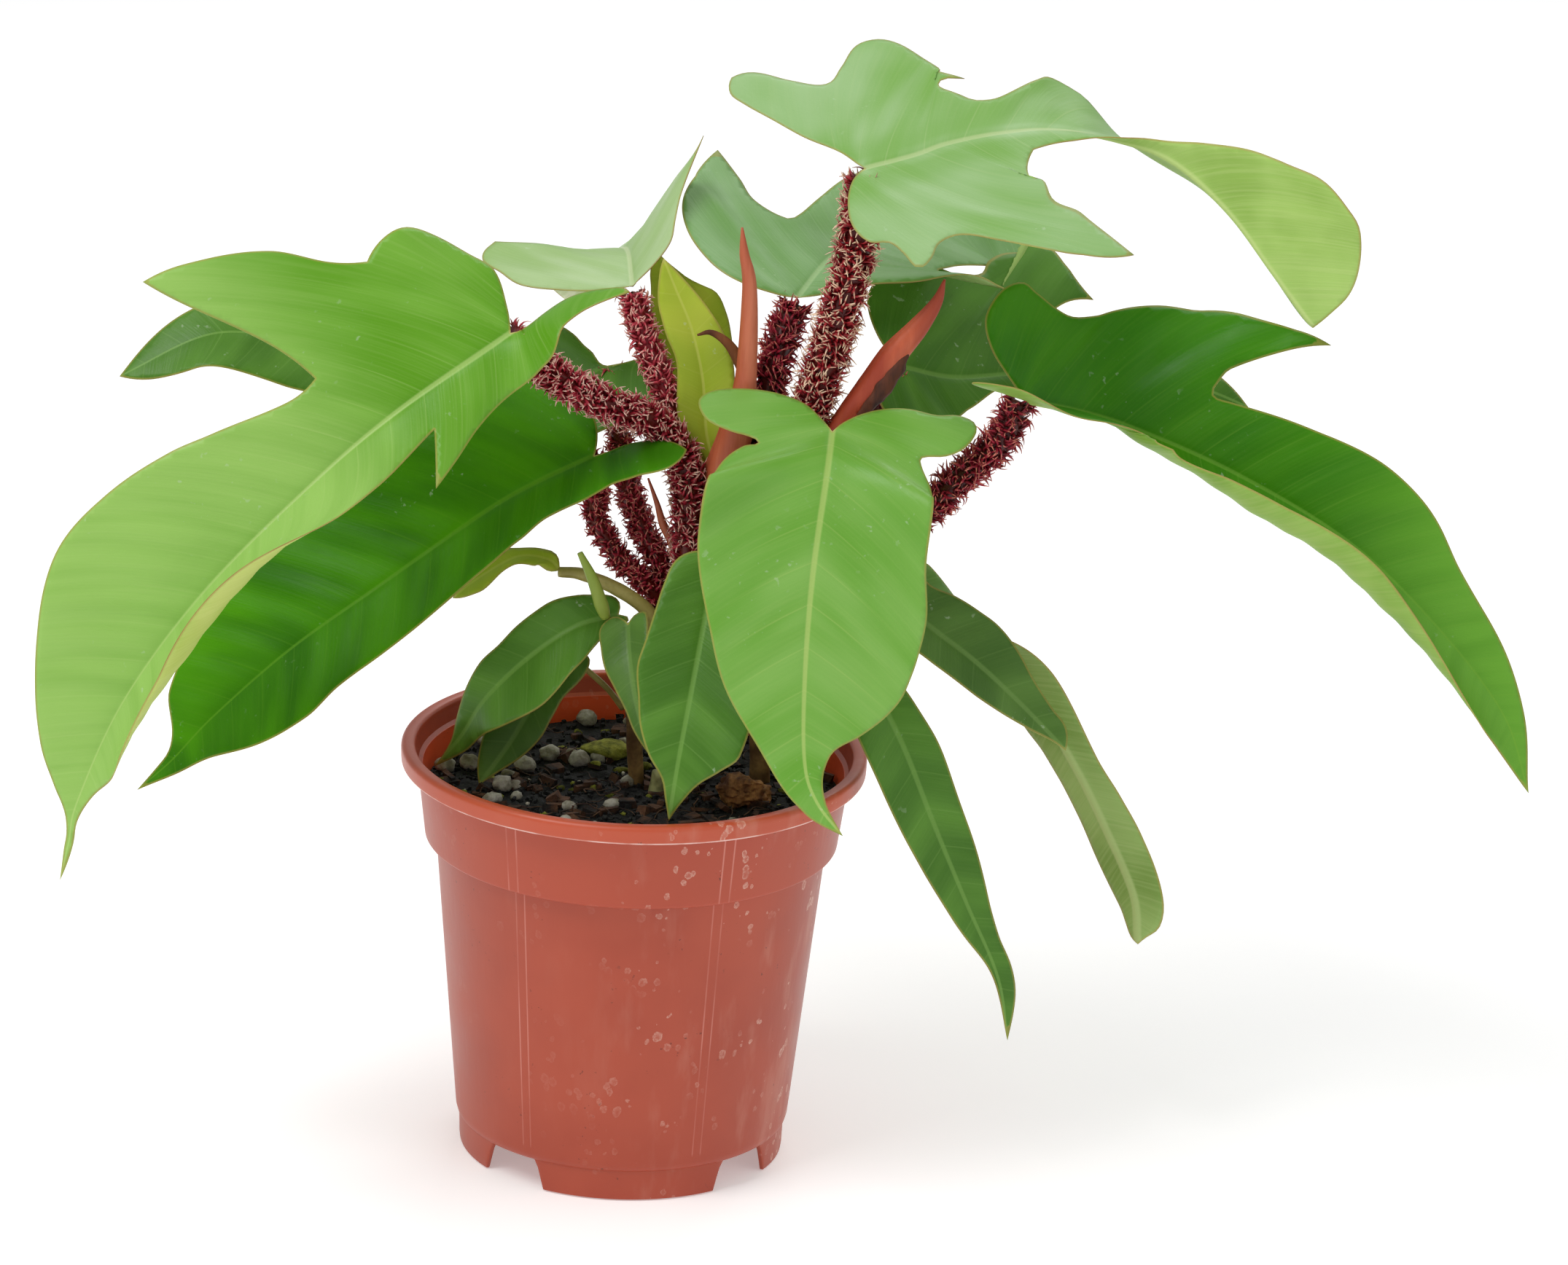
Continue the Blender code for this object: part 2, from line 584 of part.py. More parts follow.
def leaf_top_right(group):
    """Large milky five-lobed blade at the top right, its end lobe twisting over and hanging."""
    leaf("leaf_top_right", LEAF_MILKY, group,
         midrib=[(61, -5, 311), (75, 0, 314), (85, 4, 317), (100, 7, 320), (116, 10, 321),
                 (134, 10, 319), (151, 6, 314), (168, 0, 301), (182, -8, 285), (194, -14, 271)],
         face=[(-0.1, -0.4, 0.9), (-0.1, -0.4, 0.9), (-0.1, -0.4, 0.9), (-0.1, -0.35, 0.9),
               (-0.1, -0.15, 1), (0, 0.4, 0.9), (0.3, 0.9, 0.35), (0.4, 0.9, 0.3),
               (0.5, 0.85, 0.2), (0.5, 0.85, 0.1)],
         bend=[(0, 0, 0, 0), (0, 0, 0, 0), (0, 0, 0, 0), (0, 0, 0, 0), (0, 0, 0, 0),
               (10, 0, 0, 0), (40, 0, 0, 0), (50, 0, 0, 0), (50, 0, 0, 0), (40, 0, 0, 0)],
         sweep_end=85,
         right=[(-6, 5), (-11, 15), (-13, 25), (-11, 33), (-6, 35), (-4, 41), (-3, 48),
                (-1, 49), (3, 46), (8, 40), (15, 39), (24, 46), (33, 54), (42, 61),
                (57, 67, CORNER), (53, 57), (48, 46), (42, 35), (45, 21), (50, 10, CORNER),
                (75, 6), (90, 6), (99, 12), (110, 22), (119, 28), (129, 35), (141, 36),
                (146, 34), (154, 25), (158, 17), (159, 8)],
         left=[(-1, 2), (-4, 10), (-11, 20), (-17, 32), (-22, 42), (-24, 48), (-21, 55, CORNER),
               (-14, 55), (-5, 47), (4, 42), (11, 48), (19, 56), (26, 56), (31, 51), (35, 41),
               (42, 25, CORNER), (37, 25), (38, 19), (40, 16), (46, 16), (59, 24), (66, 28),
               (72, 24), (84, 14), (100, 12), (120, 11), (140, 8), (155, 3)])


def leaf_right_back(group):
    """Dark lobed blade at the back right."""
    leaf("leaf_right_back", LEAF_DEEP, group,
         midrib=[(76, 30, 240.3), (91, 36, 236), (111, 45, 235.4), (138, 53, 235.4), (165, 56, 230),
                 (181, 54, 225)],
         face=(0, -0.65, 0.75),
         right=[(-8, 6), (-9, 16), (0, 21), (17, 14), (20, 11), (32, 5), (45, 10), (70, 14),
                (90, 10), (105, 4)],
         left=[(-8, 8), (-11, 20), (-8, 28), (0, 34), (12, 39), (21, 38), (27, 39), (30, 41),
               (33, 46), (40, 52), (51, 54), (63, 45), (64, 37), (66, 29), (68, 24, CORNER),
               (58, 23), (52, 17), (70, 16), (90, 11), (105, 4)])


def leaf_right_big(group):
    """Long lobed blade reaching down to the right, its near side rolled over the midrib."""
    leaf("leaf_right_big", LEAF_DEEP, group,
         midrib=[(111, -10, 244), (129, -4, 239), (145, -6, 235), (175, -14, 225),
                 (208, -24, 209), (234, -34, 188), (255, -42, 164), (264, -46, 141)],
         face=[(0, -0.85, 0.5), (0, -0.85, 0.5), (0, -0.92, 0.38), (0, -0.945, 0.326),
               (0, -0.945, 0.326), (0, -0.945, 0.326), (0, -0.945, 0.326),
               (0, -0.945, 0.326)],
         bend=[(0, 0, 70, 0), (0, 0, 70, 0), (0, 0, 50, 2.5), (0, 0, 18, 5), (0, 0, 12, 5.4),
               (0, 0, 12, 5.4), (0, 0, 12, 5.4), (0, 0, 12, 5.4)],
         ears=(0, 0, 85, 0),
         right=[(-8, 4), (-18, 7), (-22, 11), (-16, 16), (-4, 18), (15, 19), (35, 23),
                (50, 24, CORNER), (54, 20), (70, 24), (95, 26), (120, 26), (145, 22),
                (170, 14), (188, 5)],
         left=[(-6, 6), (-12, 13), (-15, 21), (-13, 28), (-9, 33), (-4, 35), (0, 33), (11, 28),
               (18, 29), (40, 37), (48, 39), (57, 42), (68, 45), (79, 45, CORNER), (69, 39),
               (55, 27), (53, 22), (53, 18), (58, 18), (77, 21), (90, 23), (103, 24),
               (114, 23), (123, 21), (136, 16), (160, 11), (180, 5)])


def leaf_front(group):
    """Broad arrow-shaped blade hanging in front of the pot."""
    leaf("leaf_front", LEAF_BRIGHT, group,
         midrib=[(55, -20, 235), (54, -34, 227), (51, -50, 200), (50, -60, 172), (51, -68, 149),
                 (55, -74, 139), (63, -80, 131)],
         face=[(0, -0.85, 0.5), (0.05, -0.95, 0.3), (0.05, -0.95, 0.3), (0.05, -0.95, 0.3),
               (0, -1, 0.1), (0, -1, 0.1), (0, -1, 0.1)],
         right=[(-5, 4), (-10, 9), (-13, 16), (-14, 24), (-13, 32), (-11, 37), (-7, 40),
                (-2, 39), (2, 36), (5, 29), (6, 24), (8, 21), (10, 25), (16, 30), (24, 33),
                (35, 35), (47, 34), (64, 29), (82, 23), (100, 12), (112, 6), (118, 4)],
         left=[(-4, 3), (-8, 8), (-11, 15), (-12, 22), (-11, 30), (-12, 36), (-10, 41),
               (-6, 42), (1, 39), (5, 34), (7, 27), (10, 27), (21, 31), (38, 32), (57, 35),
               (79, 30), (87, 25), (94, 17), (99, 9), (104, 6), (110, 4), (117, 2)])


def leaf_front_small(group):
    """Dark entire blade hanging left of the front one."""
    leaf("leaf_front_small", LEAF_DEEP, group,
         midrib=[(23, -26, 197), (20, -36, 180), (17, -46, 161), (14, -55, 142), (12, -58, 125)],
         face=[(-0.1, -0.9, 0.3), (-0.1, -0.9, 0.3), (-0.1, -0.9, 0.3), (0, -1, 0.1), (0, -1, 0.1)],
         bend=(8, 0, 8, 0),
         right=[(0, 7), (4, 12), (12, 14), (21, 15), (29, 16), (37, 17), (46, 15), (54, 13),
                (62, 9), (68, 4), (74, 2)],
         left=[(-6, 6), (-2, 13), (15, 18), (35, 20), (58, 18), (63, 13), (68, 7), (74, 3)])


def small_leaves(group):
    """Young entire blades of the side shoots."""
    leaf("leaf_shoot_front", LEAF_DEEP, group,
         midrib=[(-3, -15, 171), (-2, -23, 164), (0, -30, 155), (3, -36, 146), (6, -40, 138)],
         face=(-0.3, -0.9, 0.3), bend=(15, 0, 0, 0), cell=8,
         right=[(-3, 3), (-3, 6), (0, 9), (6, 9), (14, 8), (20, 6), (27, 4), (34, 3)],
         left=[(-1, 1), (-2, 4), (-1, 7), (10, 7), (25, 8), (36, 5)])
    leaf("leaf_shoot_left", LEAF_BRIGHT, group,
         midrib=[(-6, -4, 170), (-19, -9, 167), (-33, -12, 157), (-45, -10, 143),
                 (-52, -4, 129), (-60, 2, 117)],
         face=[(-0.2, -0.75, 0.6), (-0.2, -0.75, 0.6), (-0.2, -0.75, 0.6), (-0.2, -0.75, 0.6),
               (-0.2, -0.8, 0.5), (-0.2, -0.8, 0.5)],
         bend=(5, 0, 5, 0),
         right=[(-1, 5), (5, 8), (12, 9), (19, 10), (28, 10), (36, 9), (44, 9), (57, 6),
                (65, 4), (72, 1.5)],
         left=[(-2, 3), (5, 5), (11, 9), (17, 13), (25, 15), (36, 16), (48, 12), (61, 6),
               (70, 4)])
    leaf("leaf_shoot_low", LEAF_DEEP, group,
         midrib=[(-20, 0, 154), (-29, -3, 143), (-37, -6, 128.7), (-46, -8, 115.2)],
         face=(-0.2, -0.8, 0.5), bend=(5, 0, 5, 0), cell=8,
         right=[(-4, 4), (0, 8), (15, 11), (28, 10), (40, 6)],
         left=[(-4, 4), (0, 7), (10, 7), (16, 8), (24, 8), (32, 6), (42, 2)])
    leaf("leaf_shoot_upper", LEAF_YELLOW, group,
         midrib=[(-24, 2, 181), (-28, 3, 184), (-37, 4, 184), (-48, 4, 177), (-56, 4, 170)],
         face=(-0.1, -0.5, 0.85), cell=8,
         right=[(3, 2), (7, 3), (14, 3), (22, 6), (32, 4)],
         left=[(4, 4), (10, 4), (19, 3), (28, 5), (34, 3)])


def right_leaves(group):
    """Narrow blades low on the right, the middle one hanging with its pale underside out."""
    leaf("leaf_right_short", LEAF_DEEP, group,
         midrib=[(75, 0, 178), (88, -3, 169), (101, -5, 160), (115, -7, 148), (129, -10, 135)],
         face=(0.1, -0.8, 0.6), bend=(6, 0, 6, 0), cell=9,
         right=[(-5, 5), (0, 10), (18, 9), (34, 9), (46, 7), (57, 4), (65, 1)],
         left=[(-5, 5), (0, 11), (7, 10), (14, 12), (21, 13), (30, 13), (40, 11), (49, 8),
               (58, 6), (65, 5)])
    leaf("leaf_right_turned", LEAF_MILKY, group,
         midrib=[(75, 20, 178), (95, 20, 165), (115, 18, 148), (132, 16, 123), (144, 14, 101),
                 (153, 10, 82), (155, 8, 67)],
         face=[(0, -0.3, 0.9), (0.1, 0.3, 0.9), (0.3, 0.8, 0.5), (0.4, 0.9, 0.2),
               (0.4, 0.9, 0.2), (0.4, 0.9, 0.2), (0.4, 0.9, 0.2)],
         bend=(6, 0, 6, 0),
         right=[(-5, 5), (0, 11), (20, 14), (45, 12), (84, 8), (97, 9), (110, 10), (130, 9),
                (137, 7), (140, 3)],
         left=[(-5, 5), (0, 11), (20, 14), (45, 14), (65, 12), (76, 9), (99, 8), (123, 8),
               (139, 3)])
    leaf("leaf_right_low", LEAF_DEEP, group,
         midrib=[(69, -16, 158), (80, -22, 139), (90, -24, 116), (101, -24, 91),
                 (112, -22, 66), (116, -20, 45)],
         face=(0.2, -0.9, 0.4), bend=(8, 0, 8, 0),
         right=[(-5, 5), (0, 10), (16, 12), (32, 12), (59, 9), (73, 7), (85, 5), (98, 2),
                (110, 1)],
         left=[(-5, 5), (8, 8), (17, 9), (27, 10), (38, 10), (62, 9), (90, 5), (101, 5),
               (110, 4)])


def centre_leaves(group):
    """Two upright young blades in the middle."""
    leaf("leaf_yellow", LEAF_YELLOW, group,
         midrib=[(22, 6, 211), (18, 8, 223), (16, 11, 240), (12, 13, 255), (7, 15, 266),
                 (3, 16, 275)],
         face=(-0.1, -0.9, 0.2), bend=(14, 0, 14, 0),
         right=[(4, 2), (12, 5), (20, 9), (30, 10), (38, 10), (44, 9), (50, 7), (59, 4)],
         left=[(4, 2), (10, 4), (20, 8), (28, 8), (37, 7), (46, 8), (55, 7), (64, 3)])
    leaf("leaf_yellow_back", LEAF_YELLOW, group,
         midrib=[(19, 26, 210), (16, 30, 227), (12, 34, 244), (8, 37, 259), (1, 39, 270)],
         face=(0, -0.9, 0.3),
         right=[(-4, 5), (6, 8), (18, 8), (27, 11), (35, 12), (42, 12), (49, 10), (52, 6),
                (55, 3)],
         left=[(-4, 5), (5, 10), (25, 13), (45, 11), (60, 6)])


# ---------------------------------------------------------------- stalks, stems, sheaths

def bristly_petioles(group):
    """Bristle-covered stalks of the grown leaves; the core is modelled, from the crown up."""
    petiole("petiole_left_big", "leaf_left_big", group,
            [(12, 1, 160), (14, -3, 180), (13.5, -2, 203), (12, 1.5, 216), (4, 0.5, 228),
             (-13, -6, 236.5), (-29, -11, 246.7)], [3.0, 3.3, 3.3, 3.1])
    petiole("petiole_left_lower", "leaf_left_lower", group,
            [(7, 5, 160), (4.5, 5, 173.5), (-6, 6, 183.5), (-14, 8, 195), (-14, 8, 204)], [2.3, 2.4, 2.3])
    petiole("petiole_left_back", "leaf_left_back", group,
            [(9, 11, 160), (6, 10, 181), (0, 12, 191), (-5, 19, 202), (-9, 30, 217)],
            [2.4, 2.8, 2.8, 2.5])
    petiole("petiole_upper_left", "leaf_upper_left", group,
            [(14, 16, 160), (17, 13, 185), (12, 12, 212), (6, 13, 231.7), (-1, 17, 247.7)],
            [2.6, 3.0, 3.0, 2.7])
    petiole("petiole_top_mid", "leaf_top_mid", group,
            [(24, 13, 160), (27, 11, 186), (31, 9, 205), (36, 9, 239), (38.5, 10, 251)],
            [2.8, 3.2, 3.3, 3.0])
    petiole("petiole_top_right", "leaf_top_right", group,
            [(28, 5, 160), (36, 3, 193), (47, 0, 229), (54.5, -4, 261), (59.5, -4, 284),
             (61, -3, 298)], [3.2, 3.6, 3.9, 3.9, 3.6])
    petiole("petiole_right_back", "leaf_right_back", group,
            [(28, 18, 160), (33, 17, 171), (45, 19, 188), (58, 23, 208), (68, 28, 224)],
            [2.6, 2.8, 2.8, 2.6])
    petiole("petiole_right_big", "leaf_right_big", group,
            [(30, -3, 160), (44, -7, 173), (59, -8, 185), (75, -9, 200), (93, -9, 218),
             (105, -10, 232)], [3.0, 3.3, 3.3, 3.0])
    petiole("petiole_front", "leaf_front", group,
            [(23, -3, 160), (28, -9, 168), (36, -11, 182), (44, -13, 199), (51, -14, 218)],
            [2.6, 3.0, 3.0, 2.7])
    petiole("petiole_front_small", "leaf_front_small", group,
            [(17, -5, 160), (23, -10, 171), (24, -15, 183)], [1.8, 2.0, 2.0])


def plain_petioles(group):
    """Smooth thin stalks of the young leaves."""
    petiole("stalk_shoot_front", "leaf_shoot_front", group,
            [(-2, -5, 157), (-3, -10.5, 165)], [1.0, 1.0], OLIVE_STALK)
    petiole("stalk_shoot_low", "leaf_shoot_low", group,
            [(-4, 5, 137), (-9, 3, 144), (-16, 2, 150.5)], [0.9, 0.9], OLIVE_STALK)
    petiole("stalk_shoot_upper", "leaf_shoot_upper", group,
            [(4.5, -3, 150), (4.5, -3, 162), (3, -2.5, 170), (-5, -1.5, 176), (-17, 1.5, 180)],
            [1.5, 2.2, 2.3, 2.1, 1.9, 1.5], OLIVE_STALK)
    petiole("stalk_right_short", "leaf_right_short", group,
            [(40.5, 4, 152), (52, 2, 165), (65, 1, 173)], [1.3, 1.3], OLIVE_STALK)
    petiole("stalk_right_turned", "leaf_right_turned", group,
            [(36, 9.5, 153), (50, 13, 165), (64, 17, 172)], [1.3, 1.3], OLIVE_STALK)
    petiole("stalk_right_low", "leaf_right_low", group,
            [(38, 0.8, 143), (48, -8, 150), (59, -13, 156)], [1.3, 1.3], OLIVE_STALK)
    petiole("stalk_yellow", "leaf_yellow", group,
            [(18, 9.5, 160), (19.3, 8.2, 185), (21, 8.2, 203)], [1.3, 1.3], OLIVE_STALK)
    petiole("stalk_yellow_back", "leaf_yellow_back", group,
            [(19.5, 19, 160), (20, 22, 185), (19.5, 25, 203)], [1.3, 1.3], OLIVE_STALK)


def stems(group):
    """Upright stems out of the soil, the main one swelling into the crown that holds the stalks."""
    foot = LAYOUT_RIM_HEIGHT - SOIL_BELOW_RIM / MM + CLEARANCE / MM
    tube("stem_main", STEM_BROWN, group,
         [(16, 13, foot), (16.2, 12.5, 124), (17, 11, 136), (19, 8, 149), (19, 7, 158.5)],
         [5.5, 5.2, 5.2, 6.5, 11.0], steps=2, resolution=3)
    tube("stem_left", OLIVE_STALK, group, [(1, 3, foot), (-1, 0, 140), (-2, -2, 155)], [2.4, 2.0])
    tube("stem_right", OLIVE_STALK, group, [(38, 6, foot), (37, 6, 135), (36, 5, 148)], [3.2, 2.6])


def sheaths(group):
    """Pointed papery sheaths of new leaves, one of them dried."""
    tube("sheath_tall", SHEATH_ORANGE, group,
         [(19, 3.5, 166), (20, 2, 197), (23, 1, 214), (27, 0, 228), (29, 0, 244), (29, 0, 271),
          (27, 0, 282), (26, 0, 290)], [2.0, 3.4, 4.8, 4.6, 2.9, 2.0, 1.3, 0.3])
    tube("sheath_right", SHEATH_ORANGE, group,
         [(46, -8, 200), (53, -3, 223), (60, -4, 235), (66, -4, 244), (72, -4, 254),
          (79, -4, 263), (84, -4, 271), (86, -4, 278)], [2, 3, 3.5, 3.9, 3.7, 2.8, 1.6, 0.3])
    tube("sheath_dry", SHEATH_BROWN, group,
         [(29, 6.5, 228), (30, 7, 239), (27, 5.5, 247), (23, 5, 253), (18, 5, 256), (14, 5, 255)],
         [1.5, 1.8, 1.7, 1.3, 0.8, 0.3])
    tube("sheath_small", SHEATH_ORANGE, group,
         [(10, 5, 185), (9, 6, 190), (6, 7, 195), (4, 8, 201), (1, 8, 209)], [1.4, 1.5, 1.2, 0.8, 0.3])
    tube("leaf_rolled", LEAF_YELLOW, group,
         [(-9.7, -11, 171), (-11, -11.7, 175), (-14, -12, 183.4), (-18, -12, 191.4)], [1.4, 2.0, 1.6, 0.8])


def loose_pieces(group):
    """Clay pellets, moss, a dead stem and an old stub lying on the soil."""
    top = LAYOUT_RIM_HEIGHT - SOIL_BELOW_RIM / MM + CLEARANCE / MM
    spots = [(-57, 7), (-50, 10), (-33, 10), (-26, 21), (-17, 17), (-16, 54), (-39, -7)]
    for index, (x, y) in enumerate(spots):
        radius = 3.0
        lump(f"pellet_{index + 1}", PELLET_GREY, group, (x, y, top + 0.85 * radius),
             (radius, radius, 0.85 * radius), 11 + index)
    lump("moss", MOSS, group, (-9, 27, top + 2.5), (7.0, 6.0, 2.5), 31)
    lump("dead_stem", BARK, group, (33, -10, top + 4.5), (8.0, 6.0, 4.5), 32)
    tube("stub", STUB_GREEN, group, [(7, -3, top), (7.3, -3, top + 3), (7.6, -3, top + 7)], [2.5, 2.0])


def build():
    clear_scene()
    group = collection(NAME)
    cutters = collection("cutters")
    pot(group, cutters)
    soil(group)
    leaf_left_big(group)
    leaf_left_lower(group)
    leaf_left_back(group)
    leaf_upper_left(group)
    leaf_top_mid(group)
    leaf_top_right(group)
    leaf_right_back(group)
    leaf_right_big(group)
    leaf_front(group)
    leaf_front_small(group)
    small_leaves(group)
    right_leaves(group)
    centre_leaves(group)
    bristly_petioles(group)
    plain_petioles(group)
    stems(group)
    sheaths(group)
    loose_pieces(group)


build()
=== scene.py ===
"""Looks of the potted philodendron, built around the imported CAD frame.

Lengths in the data are millimetres from the pot's axis (x right, y back, z up); to_world()
turns them into the row's metres.
"""

import json
import math

import bmesh
import bpy
import numpy as np
from mathutils import Matrix, Vector, kdtree, noise
from mathutils.geometry import delaunay_2d_cdt


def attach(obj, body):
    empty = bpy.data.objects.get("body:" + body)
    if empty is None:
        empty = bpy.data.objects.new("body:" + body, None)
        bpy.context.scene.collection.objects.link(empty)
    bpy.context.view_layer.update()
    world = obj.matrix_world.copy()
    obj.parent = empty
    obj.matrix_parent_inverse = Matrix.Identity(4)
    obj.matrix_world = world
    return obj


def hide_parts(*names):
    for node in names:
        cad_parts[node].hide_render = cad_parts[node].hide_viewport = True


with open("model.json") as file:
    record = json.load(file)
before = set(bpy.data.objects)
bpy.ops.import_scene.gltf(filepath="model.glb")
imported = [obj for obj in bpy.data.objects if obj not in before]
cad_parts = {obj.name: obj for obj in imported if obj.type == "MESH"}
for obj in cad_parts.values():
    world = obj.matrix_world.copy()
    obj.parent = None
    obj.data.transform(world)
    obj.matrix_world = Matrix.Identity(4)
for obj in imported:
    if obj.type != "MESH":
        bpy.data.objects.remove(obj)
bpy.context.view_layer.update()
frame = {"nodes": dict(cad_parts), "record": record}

AXIS_X = -0.0452                 # the pot's axis, in metres
AXIS_Y = -0.01115
MM = 0.001
SLOTS = {s["node"]: s["material_slot"] for s in frame["record"]["subparts"]}
SHEEN = 0.014                    # light the surface itself reflects, taken off every base colour

CORNER = 1                       # marks a leaf margin point where the margin turns sharply
LEAF_THICKNESS = 0.7
GROOVE_DEPTH = 0.45              # midrib's groove on the upper side
RIB_DEPTH = 1.1                  # midrib's ridge on the lower side
RIB_WIDTH = 1.2
QUILT_HEIGHT = 0.16              # swelling between main side veins
WAVE_HEIGHT = 0.9
VEIN_SWEEP = 0.7                 # how far a lobe leans forward for each millimetre across
VEIN_GAP = 12.5                  # between main side veins
CELL = 1.7                       # triangle size on a large leaf
SMALL_CELL = 1.3
BRISTLE_SIDES = 3
BRISTLE_WIDTHS = (0.80, 0.66, 0.46, 0.32, 0.22, 0.10)
ROD_SIDES = 40
SOIL_TOP = 113.0


# ---------------------------------------------------------------- shader graphs

def linear(colour):
    """8-bit sRGB to a linear colour with alpha."""
    out = []
    for c in colour:
        c = c / 255.0
        c = c / 12.92 if c <= 0.04045 else ((c + 0.055) / 1.055) ** 2.4
        out.append(max(c - SHEEN, 0.003))
    return (*out, 1.0)


class Graph:
    """A material under construction: each method adds a node and returns its output."""

    def __init__(self, name):
        self.material = bpy.data.materials.new(name)
        self.material.use_nodes = True
        self.nodes = self.material.node_tree.nodes
        self.links = self.material.node_tree.links
        self.shader = self.nodes["Principled BSDF"]
        self.place = self.nodes.new("ShaderNodeTexCoord").outputs["Object"]
        self.colour = None

    def feed(self, socket, value):
        if isinstance(value, bpy.types.NodeSocket):
            self.links.new(value, socket)
        else:
            socket.default_value = value

    def math(self, operation, a, b=0.0):
        node = self.nodes.new("ShaderNodeMath")
        node.operation = operation
        self.feed(node.inputs[0], a)
        self.feed(node.inputs[1], b)
        return node.outputs[0]

    def times(self, a, b):
        return self.math("MULTIPLY", a, b)

    def plus(self, a, b):
        return self.math("ADD", a, b)

    def minus(self, a, b):
        return self.math("SUBTRACT", a, b)

    def mix(self, factor, a, b):
        node = self.nodes.new("ShaderNodeMix")
        node.data_type = "RGBA"
        self.feed(node.inputs[0], factor)
        self.feed(node.inputs[6], a)
        self.feed(node.inputs[7], b)
        return node.outputs[2]

    def tones(self, factor, dark, light):
        """Starts the surface's colour from two 8-bit colours."""
        self.colour = self.mix(factor, linear(dark), linear(light))

    def tint(self, factor, colour):
        """Mixes an 8-bit colour into the surface's colour."""
        self.colour = self.mix(factor, self.colour, linear(colour))

    def step(self, value, low, high, start=0.0, end=1.0):
        """Smooth ramp from start to end while the value goes from low to high."""
        node = self.nodes.new("ShaderNodeMapRange")
        node.interpolation_type = "SMOOTHSTEP"
        self.feed(node.inputs["Value"], value)
        for key, number in (("From Min", low), ("From Max", high), ("To Min", start), ("To Max", end)):
            node.inputs[key].default_value = number
        return node.outputs["Result"]

    def stretch(self, vector, scale):
        node = self.nodes.new("ShaderNodeMapping")
        self.feed(node.inputs["Vector"], vector)
        node.inputs["Scale"].default_value = scale
        return node.outputs["Vector"]

    def noise(self, scale, detail=3.0, vector=None, rough=0.55):
        node = self.nodes.new("ShaderNodeTexNoise")
        self.feed(node.inputs["Vector"], vector or self.place)
        node.inputs["Scale"].default_value = scale
        node.inputs["Detail"].default_value = detail
        node.inputs["Roughness"].default_value = rough
        return node.outputs["Fac"]

    def cells(self, scale, vector=None):
        node = self.nodes.new("ShaderNodeTexVoronoi")
        self.feed(node.inputs["Vector"], vector or self.place)
        node.inputs["Scale"].default_value = scale
        return node.outputs["Distance"]

    def attribute(self, name):
        node = self.nodes.new("ShaderNodeAttribute")
        node.attribute_name = name
        return node.outputs["Fac"]

    def vector(self, x, y, z):
        node = self.nodes.new("ShaderNodeCombineXYZ")
        for socket, value in zip(node.inputs, (x, y, z)):
            self.feed(socket, value)
        return node.outputs[0]

    def bump(self, height, distance, strength=1.0):
        node = self.nodes.new("ShaderNodeBump")
        self.feed(node.inputs["Height"], height)
        node.inputs["Distance"].default_value = distance
        node.inputs["Strength"].default_value = strength
        return node.outputs["Normal"]

    def done(self, roughness, normal=None, **sockets):
        self.feed(self.shader.inputs["Base Color"], self.colour)
        self.feed(self.shader.inputs["Roughness"], roughness)
        if normal is not None:
            self.links.new(normal, self.shader.inputs["Normal"])
        for name, value in sockets.items():
            self.shader.inputs[name.replace("_", " ")].default_value = value
        return self.material


def veined(g, lengthways, crossways, offset=0.0, detail=2.0):
    """Noise drawn out along the side veins: equal wherever the vein attribute is equal."""
    across = g.math("ABSOLUTE", g.attribute("across"))
    place = g.vector(g.times(g.attribute("vein"), lengthways), g.times(across, crossways), offset)
    return g.noise(1.0, detail, place)


